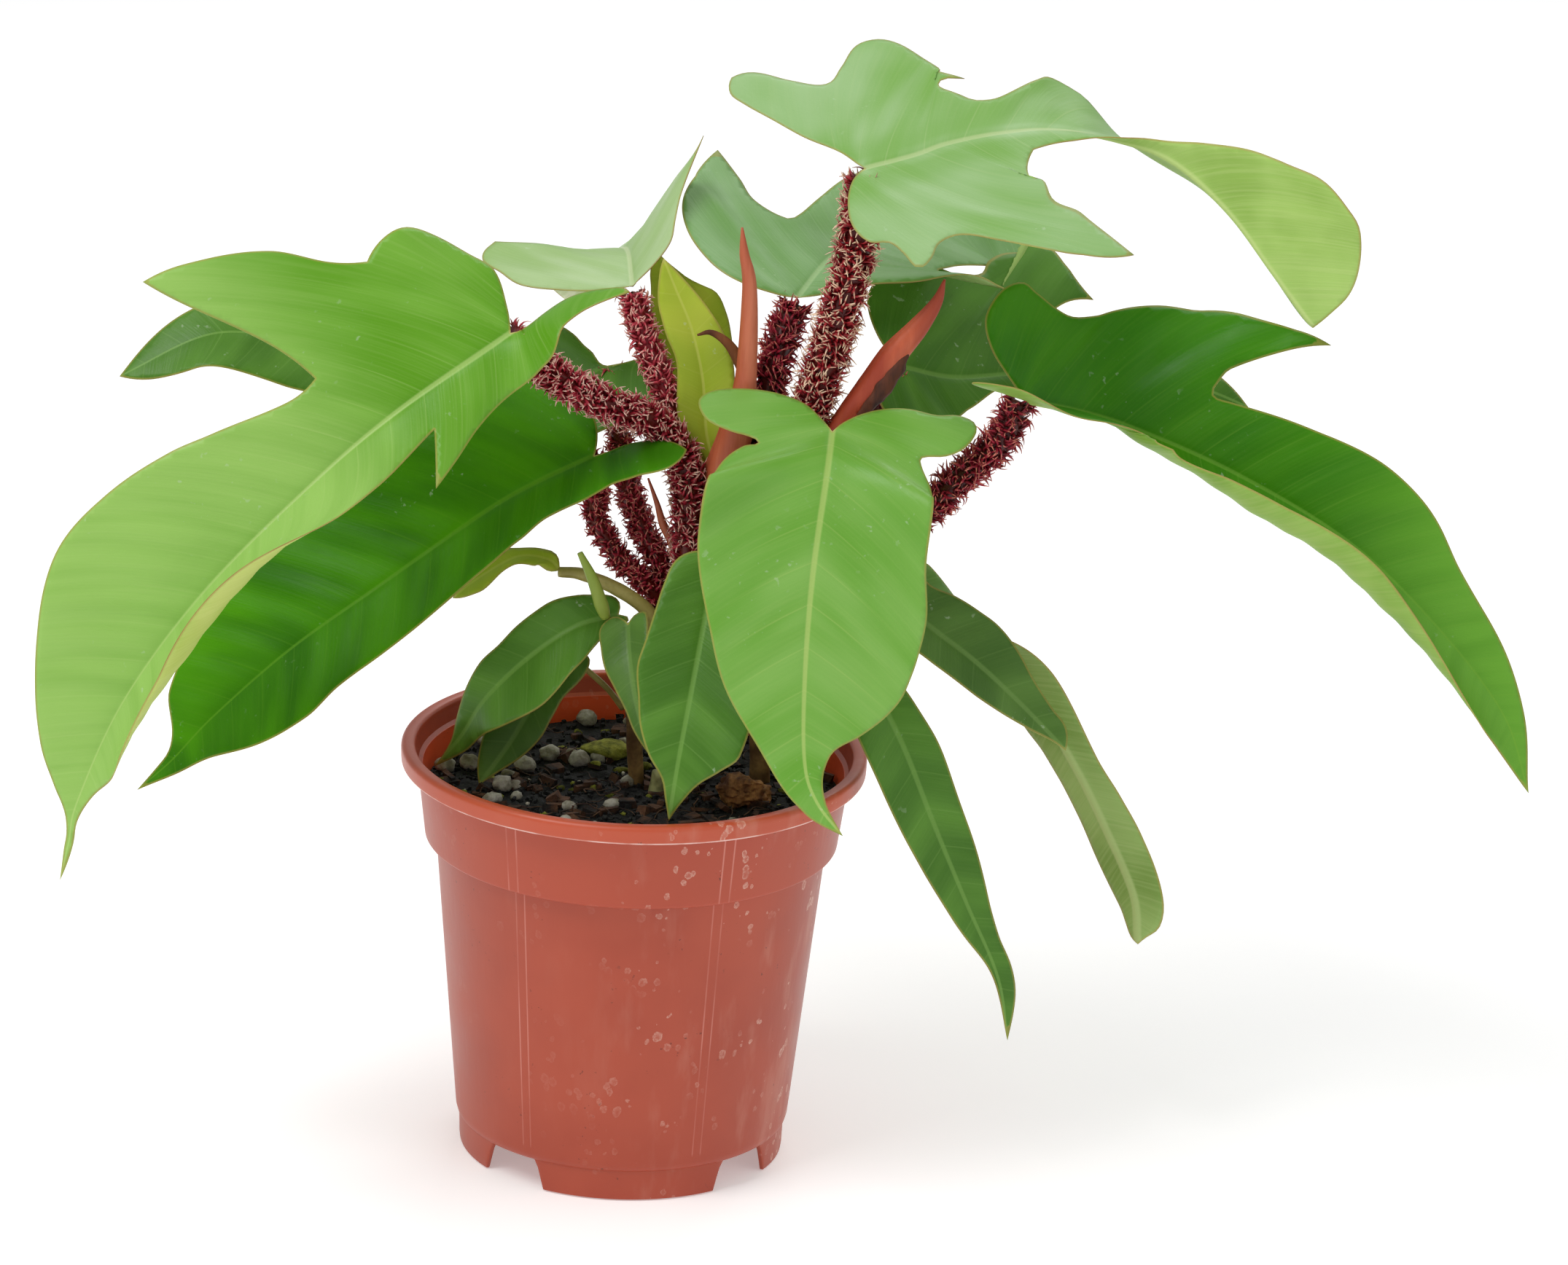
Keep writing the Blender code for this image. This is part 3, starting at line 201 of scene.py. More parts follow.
def blade_material(name, light, dark, vein, streaks=0.5, gloss=0.36, dust=0.25, sweep_dark=0.0, rib=0.9,
                   strength=0.6, shine=0.2, tip=None):
    """Upper side of a leaf: mottling and streaks along the veins, main veins, midrib, flecks, edge."""
    g = Graph(name)
    across = g.math("ABSOLUTE", g.attribute("across"))
    along = g.attribute("along")
    band = veined(g, 0.05, 0.016, 7.0)
    cloud = g.plus(g.times(band, 0.65), g.times(g.noise(18.0, 2.0), 0.35))
    g.tones(g.step(cloud, 0.38, 0.62), dark, light)
    if tip:
        tip_colour, start, end = tip
        g.tint(g.step(along, start, end, 0.0, 0.75), tip_colour)
    fine = veined(g, 1.1, 0.035)
    g.tint(g.times(g.step(fine, 0.4, 0.75), streaks * 0.2), vein)
    deep = veined(g, 0.16, 0.02, 3.0, 1.0)
    g.tint(g.times(g.step(deep, 0.4, 0.75), streaks * 0.45), dark)
    if sweep_dark:
        near = g.times(g.step(across, 2.0, 5.0), g.step(across, 7.0, 16.0, 1.0, 0.0))
        g.tint(g.times(near, sweep_dark), dark)
    period = g.math("FRACT", g.math("DIVIDE", g.attribute("vein"), VEIN_GAP))
    off = g.math("ABSOLUTE", g.minus(period, 0.5))
    major = g.times(g.step(off, 0.0, 0.03, 1.0, 0.0), g.step(across, 6.0, 30.0, 0.2, 0.0))
    g.tint(major, vein)
    half = g.step(along, 0.0, 170.0, rib, rib * 0.3)
    ridge = g.step(g.math("DIVIDE", across, half), 0.5, 1.3, 1.0, 0.0)
    g.tint(g.times(ridge, strength), vein)
    flecks = g.times(g.step(g.noise(420.0, 2.0), 0.66, 0.74), g.step(g.noise(30.0), 0.5, 0.62))
    g.tint(g.times(flecks, dust), (205, 220, 195))
    edge = g.attribute("edge")
    g.tint(g.step(edge, 0.3, 0.7, 0.55, 0.0), (172, 158, 84))
    sheen = g.step(g.noise(60.0, 3.0), 0.3, 0.7, gloss - 0.08, gloss + 0.06)
    rough = g.plus(sheen, g.times(g.step(fine, 0.3, 0.7), 0.08))
    height = g.plus(g.times(fine, 0.7), g.times(g.noise(900.0, 2.0), 0.3))
    return g.done(rough, g.bump(height, 0.0004, 0.3), Specular_IOR_Level=shine)


def underside_material(name, light, dark, vein):
    """Pale lower side of a leaf with fine parallel veins."""
    g = Graph(name)
    across = g.math("ABSOLUTE", g.attribute("across"))
    g.tones(g.step(g.noise(25.0), 0.35, 0.65), dark, light)
    fine = veined(g, 0.9, 0.03)
    g.tint(g.times(g.step(fine, 0.38, 0.7), 0.22), vein)
    ridge = g.step(across, 0.8, 1.8, 1.0, 0.0)
    g.tint(g.times(ridge, 0.7), vein)
    edge = g.attribute("edge")
    g.tint(g.step(edge, 0.3, 0.7, 0.55, 0.0), (180, 160, 90))
    return g.done(0.5, g.bump(fine, 0.0004, 0.3), Specular_IOR_Level=0.25)


def margin_material():
    """The thin reddish-brown line along every leaf's edge."""
    g = Graph("leaf_margin")
    g.tones(g.step(g.noise(40.0), 0.35, 0.65), (160, 122, 70), (176, 172, 88))
    return g.done(0.55)


def bristle_material(name, root, shaft, tip, tip_start):
    """Fleshy bristles: dark at the root, red along the shaft, pale at the curled tip."""
    g = Graph(name)
    reach = g.attribute("reach")
    shade = g.attribute("shade")
    g.tones(g.step(reach, 0.05, 0.5), root, shaft)
    g.tint(g.times(g.step(reach, tip_start, 0.8), g.step(shade, 0.0, 0.6, 0.6, 1.0)), tip)
    g.tint(g.step(shade, 0.0, 1.0, 0.2, 0.0), root)
    return g.done(0.4, Specular_IOR_Level=0.4)


def plain_material(name, light, dark, scale, roughness, bump, grain, stretch=None):
    """Two-tone mottled surface with a fine grain."""
    g = Graph(name)
    place = g.stretch(g.place, stretch) if stretch else g.place
    tone = g.noise(scale, 4.0, place)
    g.tones(g.step(tone, 0.35, 0.65), dark, light)
    fine = g.noise(grain, 3.0, place)
    g.tint(g.step(fine, 0.4, 0.75, 0.0, 0.3), dark)
    rough = g.step(tone, 0.3, 0.7, roughness + 0.06, roughness - 0.06)
    return g.done(rough, g.bump(fine, bump, 0.6))


# ---------------------------------------------------------------- meshes

def to_world(points):
    return np.asarray(points, float) * MM + np.array([AXIS_X, AXIS_Y, 0.0])


def mesh_piece(name, verts, faces, materials, slot, replaces=None, indices=None, floats=None, flat=False):
    """A piece of the object from millimetre vertices, riding on the one body."""
    mesh = bpy.data.meshes.new(name)
    mesh.from_pydata(to_world(verts).tolist(), [], [tuple(map(int, f)) for f in faces])
    for made in materials:
        mesh.materials.append(made)
    if indices is not None:
        mesh.polygons.foreach_set("material_index", np.asarray(indices, np.int32))
    mesh.polygons.foreach_set("use_smooth", [not flat] * len(mesh.polygons))
    for key, values in (floats or {}).items():
        layer = mesh.attributes.new(key, "FLOAT", "POINT")
        layer.data.foreach_set("value", np.asarray(values, np.float32))
    mesh.update()
    obj = bpy.data.objects.new(name, mesh)
    bpy.context.scene.collection.objects.link(obj)
    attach(obj, "root")
    if replaces:
        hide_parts(replaces)
    return obj


def stand_in(node, verts, faces, material, **more):
    """A one-material piece shown in place of a CAD node."""
    return mesh_piece(node + "_look", verts, faces, [material], SLOTS[node], node, **more)


def join(parts):
    """Joins (verts, faces) pairs into one."""
    verts, faces, base = [], [], 0
    for part_verts, part_faces in parts:
        verts.append(np.asarray(part_verts, float))
        faces.extend([[i + base for i in f] for f in part_faces])
        base += len(part_verts)
    return np.concatenate(verts), faces


def unit(rows):
    """Rows scaled to length 1."""
    return rows / np.maximum(np.linalg.norm(rows, axis=-1, keepdims=True), 1e-12)


def quads(rings, sides):
    """Faces between neighbouring rings of vertices."""
    out = []
    for i in range(rings - 1):
        for j in range(sides):
            k = (j + 1) % sides
            out.append([i * sides + j, i * sides + k, (i + 1) * sides + k, (i + 1) * sides + j])
    return out


def turned(faces):
    """The same faces seen from the other side."""
    return [f[:1] + f[:0:-1] for f in faces]


def spline(knots, steps):
    """Smooth curve through the knots, the same number of steps in each span."""
    pts = [np.array(k, float) for k in knots]
    pts = [2 * pts[0] - pts[1]] + pts + [2 * pts[-1] - pts[-2]]
    out = []
    for a, b, c, d in zip(pts, pts[1:], pts[2:], pts[3:]):
        for i in range(steps):
            t = i / steps
            out.append(0.5 * (2 * b + (c - a) * t + (2 * a - 5 * b + 4 * c - d) * t * t
                              + (3 * b - a - 3 * c + d) * t ** 3))
    out.append(pts[-2])
    return np.array(out)


def frames_along(line):
    """Unit tangent and two crossways vectors at each point, without twist."""
    tangent = unit(np.gradient(line, axis=0))
    across = []
    previous = np.cross(tangent[0], [0.0, 1.0, 0.2])
    for t in tangent:
        previous = unit(previous - np.dot(previous, t) * t)
        across.append(previous)
    across = np.array(across)
    return tangent, across, np.cross(tangent, across)


def ring_tube(line, radii, sides, squash=1.0, spiral=0.0):
    """Closed tube along a line; spiral grows the radius once round, like a rolled sheet."""
    tangent, across, third = frames_along(line)
    angle = np.linspace(0, 2 * math.pi, sides, endpoint=False)
    grow = 1.0 + spiral * angle / (2 * math.pi)
    ring = (across[:, None, :] * (np.cos(angle) * grow)[None, :, None]
            + third[:, None, :] * (np.sin(angle) * grow * squash)[None, :, None])
    verts = (line[:, None, :] + ring * np.asarray(radii)[:, None, None]).reshape(-1, 3)
    start = list(range(sides))[::-1]
    end = [(len(line) - 1) * sides + j for j in range(sides)]
    return verts, quads(len(line), sides) + [start, end]


def even_line(path, radii, spacing):
    """Path resampled to a spacing, with its radii."""
    line = spline(path, 16)
    width = np.interp(np.linspace(0, 1, len(line)), np.linspace(0, 1, len(radii)), radii)
    length = np.concatenate([[0], np.cumsum(np.linalg.norm(np.diff(line, axis=0), axis=1))])
    count = max(4, int(length[-1] / spacing) + 1)
    at = np.linspace(0, length[-1], count)
    points = np.stack([np.interp(at, length, line[:, i]) for i in range(3)], axis=-1)
    return points, np.interp(at, length, width)


def wobble(points, scale, amount, seed=0.0):
    """Smooth uneven offset, one value for each point."""
    places = [Vector((x * scale + seed, y * scale, z * scale)) for x, y, z in points]
    return amount * np.array([noise.noise(place) for place in places])


# ---------------------------------------------------------------- leaves

def held(rows, count):
    """One row for each midrib point: the last row given holds to the leaf's tip."""
    return rows + [rows[-1]] * (count - len(rows))


class Blade:
    """A leaf surface: (along, across) millimetres on the flat leaf to a point of the bent leaf.

    Each side is an arc that leaves the midrib at its fold angle and bends by its curl per
    millimetre. Side veins lean forward, so a lobe follows the midrib where its veins start.
    """

    def __init__(self, midrib, face, bend, ears, sweep_end):
        face = held(face, len(midrib))
        bend = held(bend, len(midrib))
        curve = spline([(*m, *f, *b) for m, f, b in zip(midrib, face, bend)], 20)
        self.points = curve[:, :3]
        lengths = np.linalg.norm(np.diff(self.points, axis=0), axis=1)
        self.along = np.concatenate([[0.0], np.cumsum(lengths)])
        self.length = float(self.along[-1])
        self.tangents = np.gradient(self.points, axis=0)
        self.faces = curve[:, 3:6]
        self.bends = curve[:, 6:10]
        self.ears = np.array(ears, float)
        self.sweep_end = sweep_end

    def at(self, s, v):
        s = np.atleast_1d(np.asarray(s, float))
        v = np.atleast_1d(np.asarray(v, float))
        width = np.abs(v)
        sweep = VEIN_SWEEP * np.clip((self.sweep_end - s) / 25.0, 0.0, 1.0)
        start = np.clip(s - sweep * width, 0.0, self.length)

        def follow(rows):
            return np.stack([np.interp(start, self.along, row) for row in rows.T], axis=-1)

        origin = follow(self.points)
        tangent = unit(follow(self.tangents))
        normal = follow(self.faces)
        normal = unit(normal - (normal * tangent).sum(1)[:, None] * tangent)
        mix = np.clip((s + 12.0) / 24.0, 0.0, 1.0)
        mix = (mix * mix * (3 - 2 * mix))[:, None]
        bend = self.ears * (1 - mix) + follow(self.bends) * mix
        side = np.cross(tangent, normal)
        left = v < 0
        fold = np.radians(np.where(left, bend[:, 0], bend[:, 2]))
        curl = np.radians(np.where(left, bend[:, 1], bend[:, 3]))
        curl = np.where(np.abs(curl) < 1e-5, 1e-5, curl)
        end = fold + curl * width
        out = (np.sin(end) - np.sin(fold)) / curl
        up = (np.cos(fold) - np.cos(end)) / curl
        return (origin + tangent * (s - start)[:, None]
                + side * (np.sign(v) * out)[:, None] + normal * up[:, None])

    def base_normal(self):
        tangent = unit(self.tangents[0])
        return unit(self.faces[0] - np.dot(self.faces[0], tangent) * tangent)


def margin(points, spacing):
    """Leaf margin through (along, across[, CORNER]) points, thinned to the spacing."""
    pts = [np.array(p[:2], float) for p in points]
    last = len(pts) - 1
    sharp = [len(p) > 2 or i in (0, last) for i, p in enumerate(points)]
    out = [pts[0]]
    for i in range(last):
        a, b = pts[i], pts[i + 1]
        reach = np.linalg.norm(b - a)
        chord = (b - a) / reach
        ta = None if sharp[i] else (b - pts[i - 1]) / np.linalg.norm(b - pts[i - 1])
        tb = None if sharp[i + 1] else (pts[i + 2] - a) / np.linalg.norm(pts[i + 2] - a)
        if ta is None and tb is None:
            ta, tb = chord, chord
        elif ta is None:
            ta = 2 * chord - tb
        elif tb is None:
            tb = 2 * chord - ta
        pieces = max(1, int(round(reach / spacing)))
        for k in range(1, pieces + 1):
            t = k / pieces
            out.append((2 * t ** 3 - 3 * t * t + 1) * a + (t ** 3 - 2 * t * t + t) * ta * reach
                       + (3 * t * t - 2 * t ** 3) * b + (t ** 3 - t * t) * tb * reach)
    return out


def inside(points, loop):
    """Which of the points lie inside the closed loop."""
    x, y = points[:, 0][:, None], points[:, 1][:, None]
    x1, y1 = loop[:, 0][None, :], loop[:, 1][None, :]
    x2, y2 = np.roll(loop[:, 0], -1)[None, :], np.roll(loop[:, 1], -1)[None, :]
    spans = (y1 > y) != (y2 > y)
    rise = np.where(np.abs(y2 - y1) < 1e-12, 1e-12, y2 - y1)
    return (spans & (x < (x2 - x1) * (y - y1) / rise + x1)).sum(axis=1) % 2 == 1


def edge_distances(points, loop):
    """Distance from each flat point to the leaf margin."""
    dense = []
    for a, b in zip(loop, np.roll(loop, -1, axis=0)):
        pieces = max(1, int(np.linalg.norm(b - a) / 0.4))
        dense.extend(a + (b - a) * k / pieces for k in range(pieces))
    tree = kdtree.KDTree(len(dense))
    for index, p in enumerate(dense):
        tree.insert((p[0], p[1], 0.0), index)
    tree.balance()
    return np.array([tree.find((p[0], p[1], 0.0))[2] for p in points])


def flat_leaf(right, left, length, cell):
    """Fine triangles over the flat leaf: margin, rows beside the midrib, an even lattice."""
    tip = (length, 0.0)
    rim = margin([(0.0, 0.0)] + right + [tip], cell)
    back = margin([(0.0, 0.0)] + [(p[0], -p[1], *p[2:]) for p in left] + [tip], cell)
    loop = np.array([tuple(p) for p in rim] + [tuple(p) for p in back[-2:0:-1]])
    low, high = loop.min(axis=0), loop.max(axis=0)
    spots = []
    for i in range(int((high[0] - low[0]) / (cell * 0.87)) + 1):
        for j in range(int((high[1] - low[1]) / cell) + 2):
            spots.append((low[0] + i * cell * 0.87, low[1] + (j + 0.5 * (i % 2)) * cell))
    spots = np.array(spots)
    spots = spots[np.abs(spots[:, 1]) > 3.6]
    rows = np.arange(1.0, length - 1.0, cell)
    beside = np.array([(s, v) for v in (-2.6, -1.5, -0.7, 0.7, 1.5, 2.6) for s in rows])
    spots = np.concatenate([spots, beside])
    spots = spots[inside(spots, loop)]
    spots = spots[edge_distances(spots, loop) > 0.45 * cell]
    points = [tuple(p) for p in loop]
    count = len(points)
    edges = [(i, (i + 1) % count) for i in range(count)]
    previous = 0
    for s in rows:
        points.append((float(s), 0.0))
        edges.append((previous, len(points) - 1))
        previous = len(points) - 1
    edges.append((previous, len(rim) - 1))
    points.extend(tuple(p) for p in spots)
    result = delaunay_2d_cdt([Vector(p) for p in points], edges, [], 1, 1e-6)
    flat = np.array([(p.x, p.y) for p in result[0]])
    faces = np.array([tuple(f) for f in result[2]])
    a, b, c = flat[faces[:, 0]], flat[faces[:, 1]], flat[faces[:, 2]]
    area = (b[:, 0] - a[:, 0]) * (c[:, 1] - a[:, 1]) - (b[:, 1] - a[:, 1]) * (c[:, 0] - a[:, 0])
    faces[area < 0] = faces[area < 0][:, [0, 2, 1]]
    return flat, faces[np.abs(area) > 1e-9], loop


def vertex_normals(points, faces):
    a, b, c = (points[faces[:, i]] for i in range(3))
    normal = np.cross(b - a, c - a)
    out = np.zeros_like(points)
    for i in range(3):
        np.add.at(out, faces[:, i], normal)
    return unit(out)


def boundary(faces):
    """Directed edges used by one triangle only."""
    edges = np.concatenate([faces[:, [0, 1]], faces[:, [1, 2]], faces[:, [2, 0]]])
    seen = {tuple(e) for e in edges.tolist()}
    return [e for e in seen if (e[1], e[0]) not in seen]


def vein_coordinate(s, v):
    """Equal along one side vein: where it leaves the midrib, or its angle about the base."""
    origin = s - 0.55 * np.abs(v) - 0.006 * v * v
    around = 34.0 * origin / (np.hypot(s, v) + 9.0)
    return np.where(origin < 0, around, origin)


BLADES = {}                      # filled by leaf(), so that stalks can meet their leaves


def leaf(name, kind, midrib, face, right, left, bend=((0, 0, 0, 0),), ears=None, sweep_end=1000.0, cell=CELL):
    """Leaf blade with a sunken midrib above, a raised one below and softly quilted side veins.

    midrib, face and bend go from the base to the tip: the midrib's points, which way the upper
    side faces there, and (left fold, left curl, right fold, right curl) in degrees. right and
    left are the margin's points, (along, across) from the base; ears is the bend of base lobes.
    """
    bend = list(bend)
    blade = Blade(midrib, face, bend, ears or bend[0], sweep_end)
    BLADES[name] = blade
    flat, faces, loop = flat_leaf(right, left, blade.length, cell)
    s, v = flat[:, 0], flat[:, 1]
    middle = blade.at(s, v)
    normal = -vertex_normals(middle, faces)
    edge = edge_distances(flat, loop)
    vein = vein_coordinate(s, v)
    taper = np.clip(1.0 - s / blade.length, 0.0, 1.0) * 0.8 + 0.2
    inner = np.clip(edge / 6.0, 0.0, 1.0)
    waves = wobble(middle, 0.035, WAVE_HEIGHT, len(name)) * np.clip(np.abs(v) / 12.0, 0.0, 1.0)
    quilt = QUILT_HEIGHT * np.cos(2 * math.pi * vein / VEIN_GAP) * np.clip(np.abs(v) / 8.0, 0.0, 1.0) * inner
    half = 0.5 * LEAF_THICKNESS * (0.35 + 0.65 * np.clip(edge / 2.0, 0.0, 1.0))
    groove = GROOVE_DEPTH * np.exp(-(v / 1.3) ** 2) * taper
    rib = RIB_DEPTH * np.exp(-(v / RIB_WIDTH) ** 2) * taper * np.clip(edge / 1.5, 0.0, 1.0)
    top = middle + normal * (waves + quilt + half - groove)[:, None]
    bottom = middle + normal * (waves + quilt - half - rib)[:, None]
    count = len(flat)
    rim = [[a, b, b + count, a + count] for a, b in boundary(faces)]
    all_faces = faces[:, [0, 2, 1]].tolist() + (faces + count).tolist() + rim
    index = [0] * len(faces) + [1] * len(faces) + [2] * len(rim)      # upper side, lower side, margin
    floats = {"along": s, "across": v, "vein": vein, "edge": edge}
    floats = {key: np.tile(values, 2) for key, values in floats.items()}
    mesh_piece(name + "_blade", np.concatenate([top, bottom]), all_faces, [*LOOKS[kind], MARGIN],
               SLOTS[name], name, index, floats)


# ---------------------------------------------------------------- stalks and sheaths

def bristles(line, radii, per_mm2, length, seed):
    """Curled fleshy bristles standing all round a line: verts, faces, reach, shade."""
    rng = np.random.default_rng(seed)
    tangent, across, third = frames_along(line)
    step = np.linalg.norm(np.diff(line, axis=0), axis=1)
    total = step.sum()
    count = int(per_mm2 * total * 2 * math.pi * float(np.mean(radii)))
    spot = rng.uniform(0.0, len(line) - 1.001, count)
    low = spot.astype(int)
    part = (spot - low)[:, None]

    def at(rows):
        rows = np.asarray(rows)
        if rows.ndim == 1:
            rows = rows[:, None]
        return rows[low] * (1 - part) + rows[low + 1] * part

    angle = rng.uniform(0, 2 * math.pi, count)[:, None]
    along = at(tangent)
    out = at(across) * np.cos(angle) + at(third) * np.sin(angle)
    side = np.cross(along, out)
    root = at(line) + out * at(radii) * 0.9
    lean = rng.normal(0.35, 0.35, (count, 1))
    swirl = rng.normal(0.0, 0.45, (count, 1))
    heading = unit(out + along * lean + side * swirl)
    forth, sideways = rng.normal(0.2, 1.0, (count, 1)), rng.normal(0.0, 1.0, (count, 1))
    turn_to = unit(along * forth + side * sideways + out * 0.15)
    curl = rng.uniform(0.45, 1.25, (count, 1))
    size = length * rng.uniform(0.7, 1.25, (count, 1))
    rings, sides = len(BRISTLE_WIDTHS), BRISTLE_SIDES
    flat_a = unit(np.cross(heading, turn_to))
    point = root
    verts, reach = [], []
    for ring, width in enumerate(BRISTLE_WIDTHS):
        flat_b = np.cross(heading, flat_a)
        for k in range(sides):
            a = 2 * math.pi * k / sides
            verts.append(point + (flat_a * math.cos(a) * 1.15 + flat_b * math.sin(a) * 0.75) * width)
            reach.append(np.full(count, ring / (rings - 1)))
        heading = unit(heading + turn_to * curl * (0.12 + ring * 0.26))
        point = point + heading * size / (rings - 1)
    per = rings * sides
    verts = np.stack(verts, axis=1).reshape(-1, 3)
    reach = np.stack(reach, axis=1).reshape(-1)
    one = np.array(quads(rings, sides))
    faces = (one[None, :, :] + (np.arange(count) * per)[:, None, None]).reshape(-1, 4)
    shade = np.repeat(rng.uniform(0, 1, count), per)
    return verts, faces.tolist(), reach, shade


def to_leaf(path, leaf_name, radii, spacing):
    """A stalk's path and radii, carried on to the underside of its leaf's base."""
    blade = BLADES[leaf_name]
    top = blade.points[0] - blade.base_normal() * radii[-1]
    return even_line(path + [tuple(top)], radii, spacing)


def petiole(part, look, path, radii, length, per_mm2=0.8):
    """Bristly stalk: a dark core with bristles all round."""
    name = "petiole_" + part
    line, width = to_leaf(path, "leaf_" + part, radii, 1.5)
    core_verts, core_faces = ring_tube(line, width, 18)
    hair_verts, hair_faces, reach, shade = bristles(line, width, per_mm2, length, len(name) * 7 + 3)
    verts, faces = join([(core_verts, core_faces), (hair_verts, hair_faces)])
    core = np.ones(len(core_verts))
    floats = {"reach": np.concatenate([core * 0.0, reach]), "shade": np.concatenate([core * 0.4, shade])}
    mesh_piece(name + "_bristly", verts, faces, [BRISTLES[look]], SLOTS[name], name, floats=floats)


def stalk(part, path, radii):
    """Smooth thin stalk, slightly uneven."""
    name = "stalk_" + part
    line, width = to_leaf(path, "leaf_" + part, radii, 1.2)
    verts, faces = ring_tube(line, width * (1.0 + wobble(line, 0.2, 0.12)), 16)
    mesh_piece(name + "_smooth", verts, faces, [PLAIN["stalk"]], SLOTS[name], name)


def rod(name, look, path, radii, squash=1.0, spiral=0.0, knobbly=0.0):
    """Stem, sheath or rolled leaf along a path."""
    line, width = even_line(path, radii, 0.9)
    verts, faces = ring_tube(line, width, ROD_SIDES, squash, spiral)
    if knobbly:
        outward = unit(verts - np.repeat(line, ROD_SIDES, axis=0))
        coarse = outward * wobble(verts, 0.16, knobbly)[:, None]
        verts = verts + coarse + outward * wobble(verts, 0.7, knobbly * 0.4)[:, None]
    stand_in(name, verts, faces, PLAIN[look])


def leaf_left_big():
    """Large five-lobed blade hanging down on the left, its left margin curling up."""
    leaf("leaf_left_big", "left_big",
         midrib=[(-40, -24, 262), (-72, -40, 241), (-96, -52, 221), (-125, -62, 191), (-147, -68, 159),
                 (-160, -70, 128), (-162.5, -70, 115), (-165, -70, 103)],
         face=[(0, -0.85, 0.5), (-0.05, -0.9, 0.45), (-0.05, -0.95, 0.33), (-0.05, -0.95, 0.3),
               (-0.1, -0.95, 0.3)],
         bend=[(-8, 0, 6, 0), (20, 1, 6, 0), (42, 2, 4, 0), (37, 2.3, 2, 0), (30, 3, 0, 0), (15, 3, 0, 0)],
         right=[(-4, 7), (-8, 19), (-5, 27), (0, 37), (6, 43), (14, 44), (22, 41, CORNER), (31, 47),
                (44, 60), (67, 70), (79, 73, CORNER), (74, 63), (59, 37), (54, 22, CORNER), (64, 22),
                (85, 30), (98, 35), (119, 39), (139, 39), (159, 30), (181, 16), (190, 8), (197, 2),
                (207, 1)],
         left=[(-5, 2), (-20, 3), (-31, 14), (-32, 21, CORNER), (-21, 15), (-13, 15), (-5, 18), (1, 16),
               (11, 15), (24, 18), (37, 24), (47, 29, CORNER), (36, 12, CORNER), (62, 20), (85, 29),
               (110, 35), (135, 34), (155, 26), (175, 14), (186, 5), (197, 1.8), (208, 1.3)],
         ears=(50, 0, -10, 0))


def leaf_left_lower():
    """Dark entire blade reaching down to the left, below the big one."""
    leaf("leaf_left_lower", "left_lower",
         midrib=[(-15, 0, 218), (-33, -6, 210), (-48, -10, 201), (-77, -14, 179), (-103, -18, 159),
                 (-125, -21, 138), (-137, -22, 124), (-147, -24, 115)],
         face=[(0.05, -0.7, 0.7), (0.05, -0.7, 0.7), (0.05, -0.7, 0.7), (0, -0.7, 0.7), (0, -0.7, 0.7),
               (-0.1, -0.75, 0.6)],
         bend=[(10, 0, 0, 0)],
         right=[(-3, 4), (-5, 9), (-5, 16), (0, 25), (5, 30), (14, 38), (26, 38, CORNER), (34, 30),
                (60, 34), (90, 33), (120, 27), (144, 16), (151, 6.5), (156, 3), (163, 1.5)],
         left=[(-4, 1), (-11, 3), (-19, 9), (-23, 21, CORNER), (-18, 26), (-12, 26), (-6, 20), (2, 14),
               (21, 13), (31, 15), (50, 17), (68, 19), (83, 20), (101, 21), (114, 23), (131, 18.5),
               (150, 8), (161, 3.5)],
         ears=(38, 0, 0, 0))


def leaf_left_back():
    """Blade reaching left behind the two others."""
    leaf("leaf_left_back", "dark_back",
         midrib=[(-13, 34, 235.6), (-29, 33, 229.3), (-59, 29, 232.3), (-96, 23, 240), (-128, 16, 246),
                 (-157, 10, 233)],
         face=[(0, -0.6, 0.8)],
         right=[(2, 2), (3, 6), (5, 10), (7, 15), (11, 20), (22, 22), (50, 16), (80, 13), (110, 12),
                (135, 8)],
         left=[(-5, 1), (-10, 2), (-13, 6), (-15, 14), (-15, 17), (-13, 20), (-4, 21), (10, 22), (30, 24),
               (60, 20), (90, 17), (120, 14), (142, 7)])


def leaf_upper_left():
    """Pale blade on the upper left, folded along its midrib and arching backwards."""
    leaf("leaf_upper_left", "upper_left",
         midrib=[(-6, 20, 265), (-8, 43, 268), (-11, 62, 264), (-17, 84, 254), (-23, 100, 243.5),
                 (-29, 114, 232)],
         face=[(0, -0.25, 0.95), (0, -0.1, 1), (0, 0.3, 1), (0, 0.4, 0.9), (0, 0.45, 0.9), (0, 0.5, 0.85)],
         bend=[(0, 0, 48, 0.2), (-4, 0, 50, 0.2), (-4, 0, 40, 0), (0, 0, 20, 0), (0, 0, 5, 0),
               (0, 0, 0, 0)],
         right=[(3, 11), (7, 18), (23, 25), (40, 38, CORNER), (36, 27), (44, 14), (56, 18), (72, 21),
                (86, 17), (98, 8)],
         left=[(-3, 8), (-2, 20), (2, 33), (10, 39), (20, 44), (31, 40, CORNER), (31, 30), (36, 20),
               (46, 15), (58, 18), (72, 21), (86, 17), (98, 8)],
         ears=(-5, 0, 30, 0))


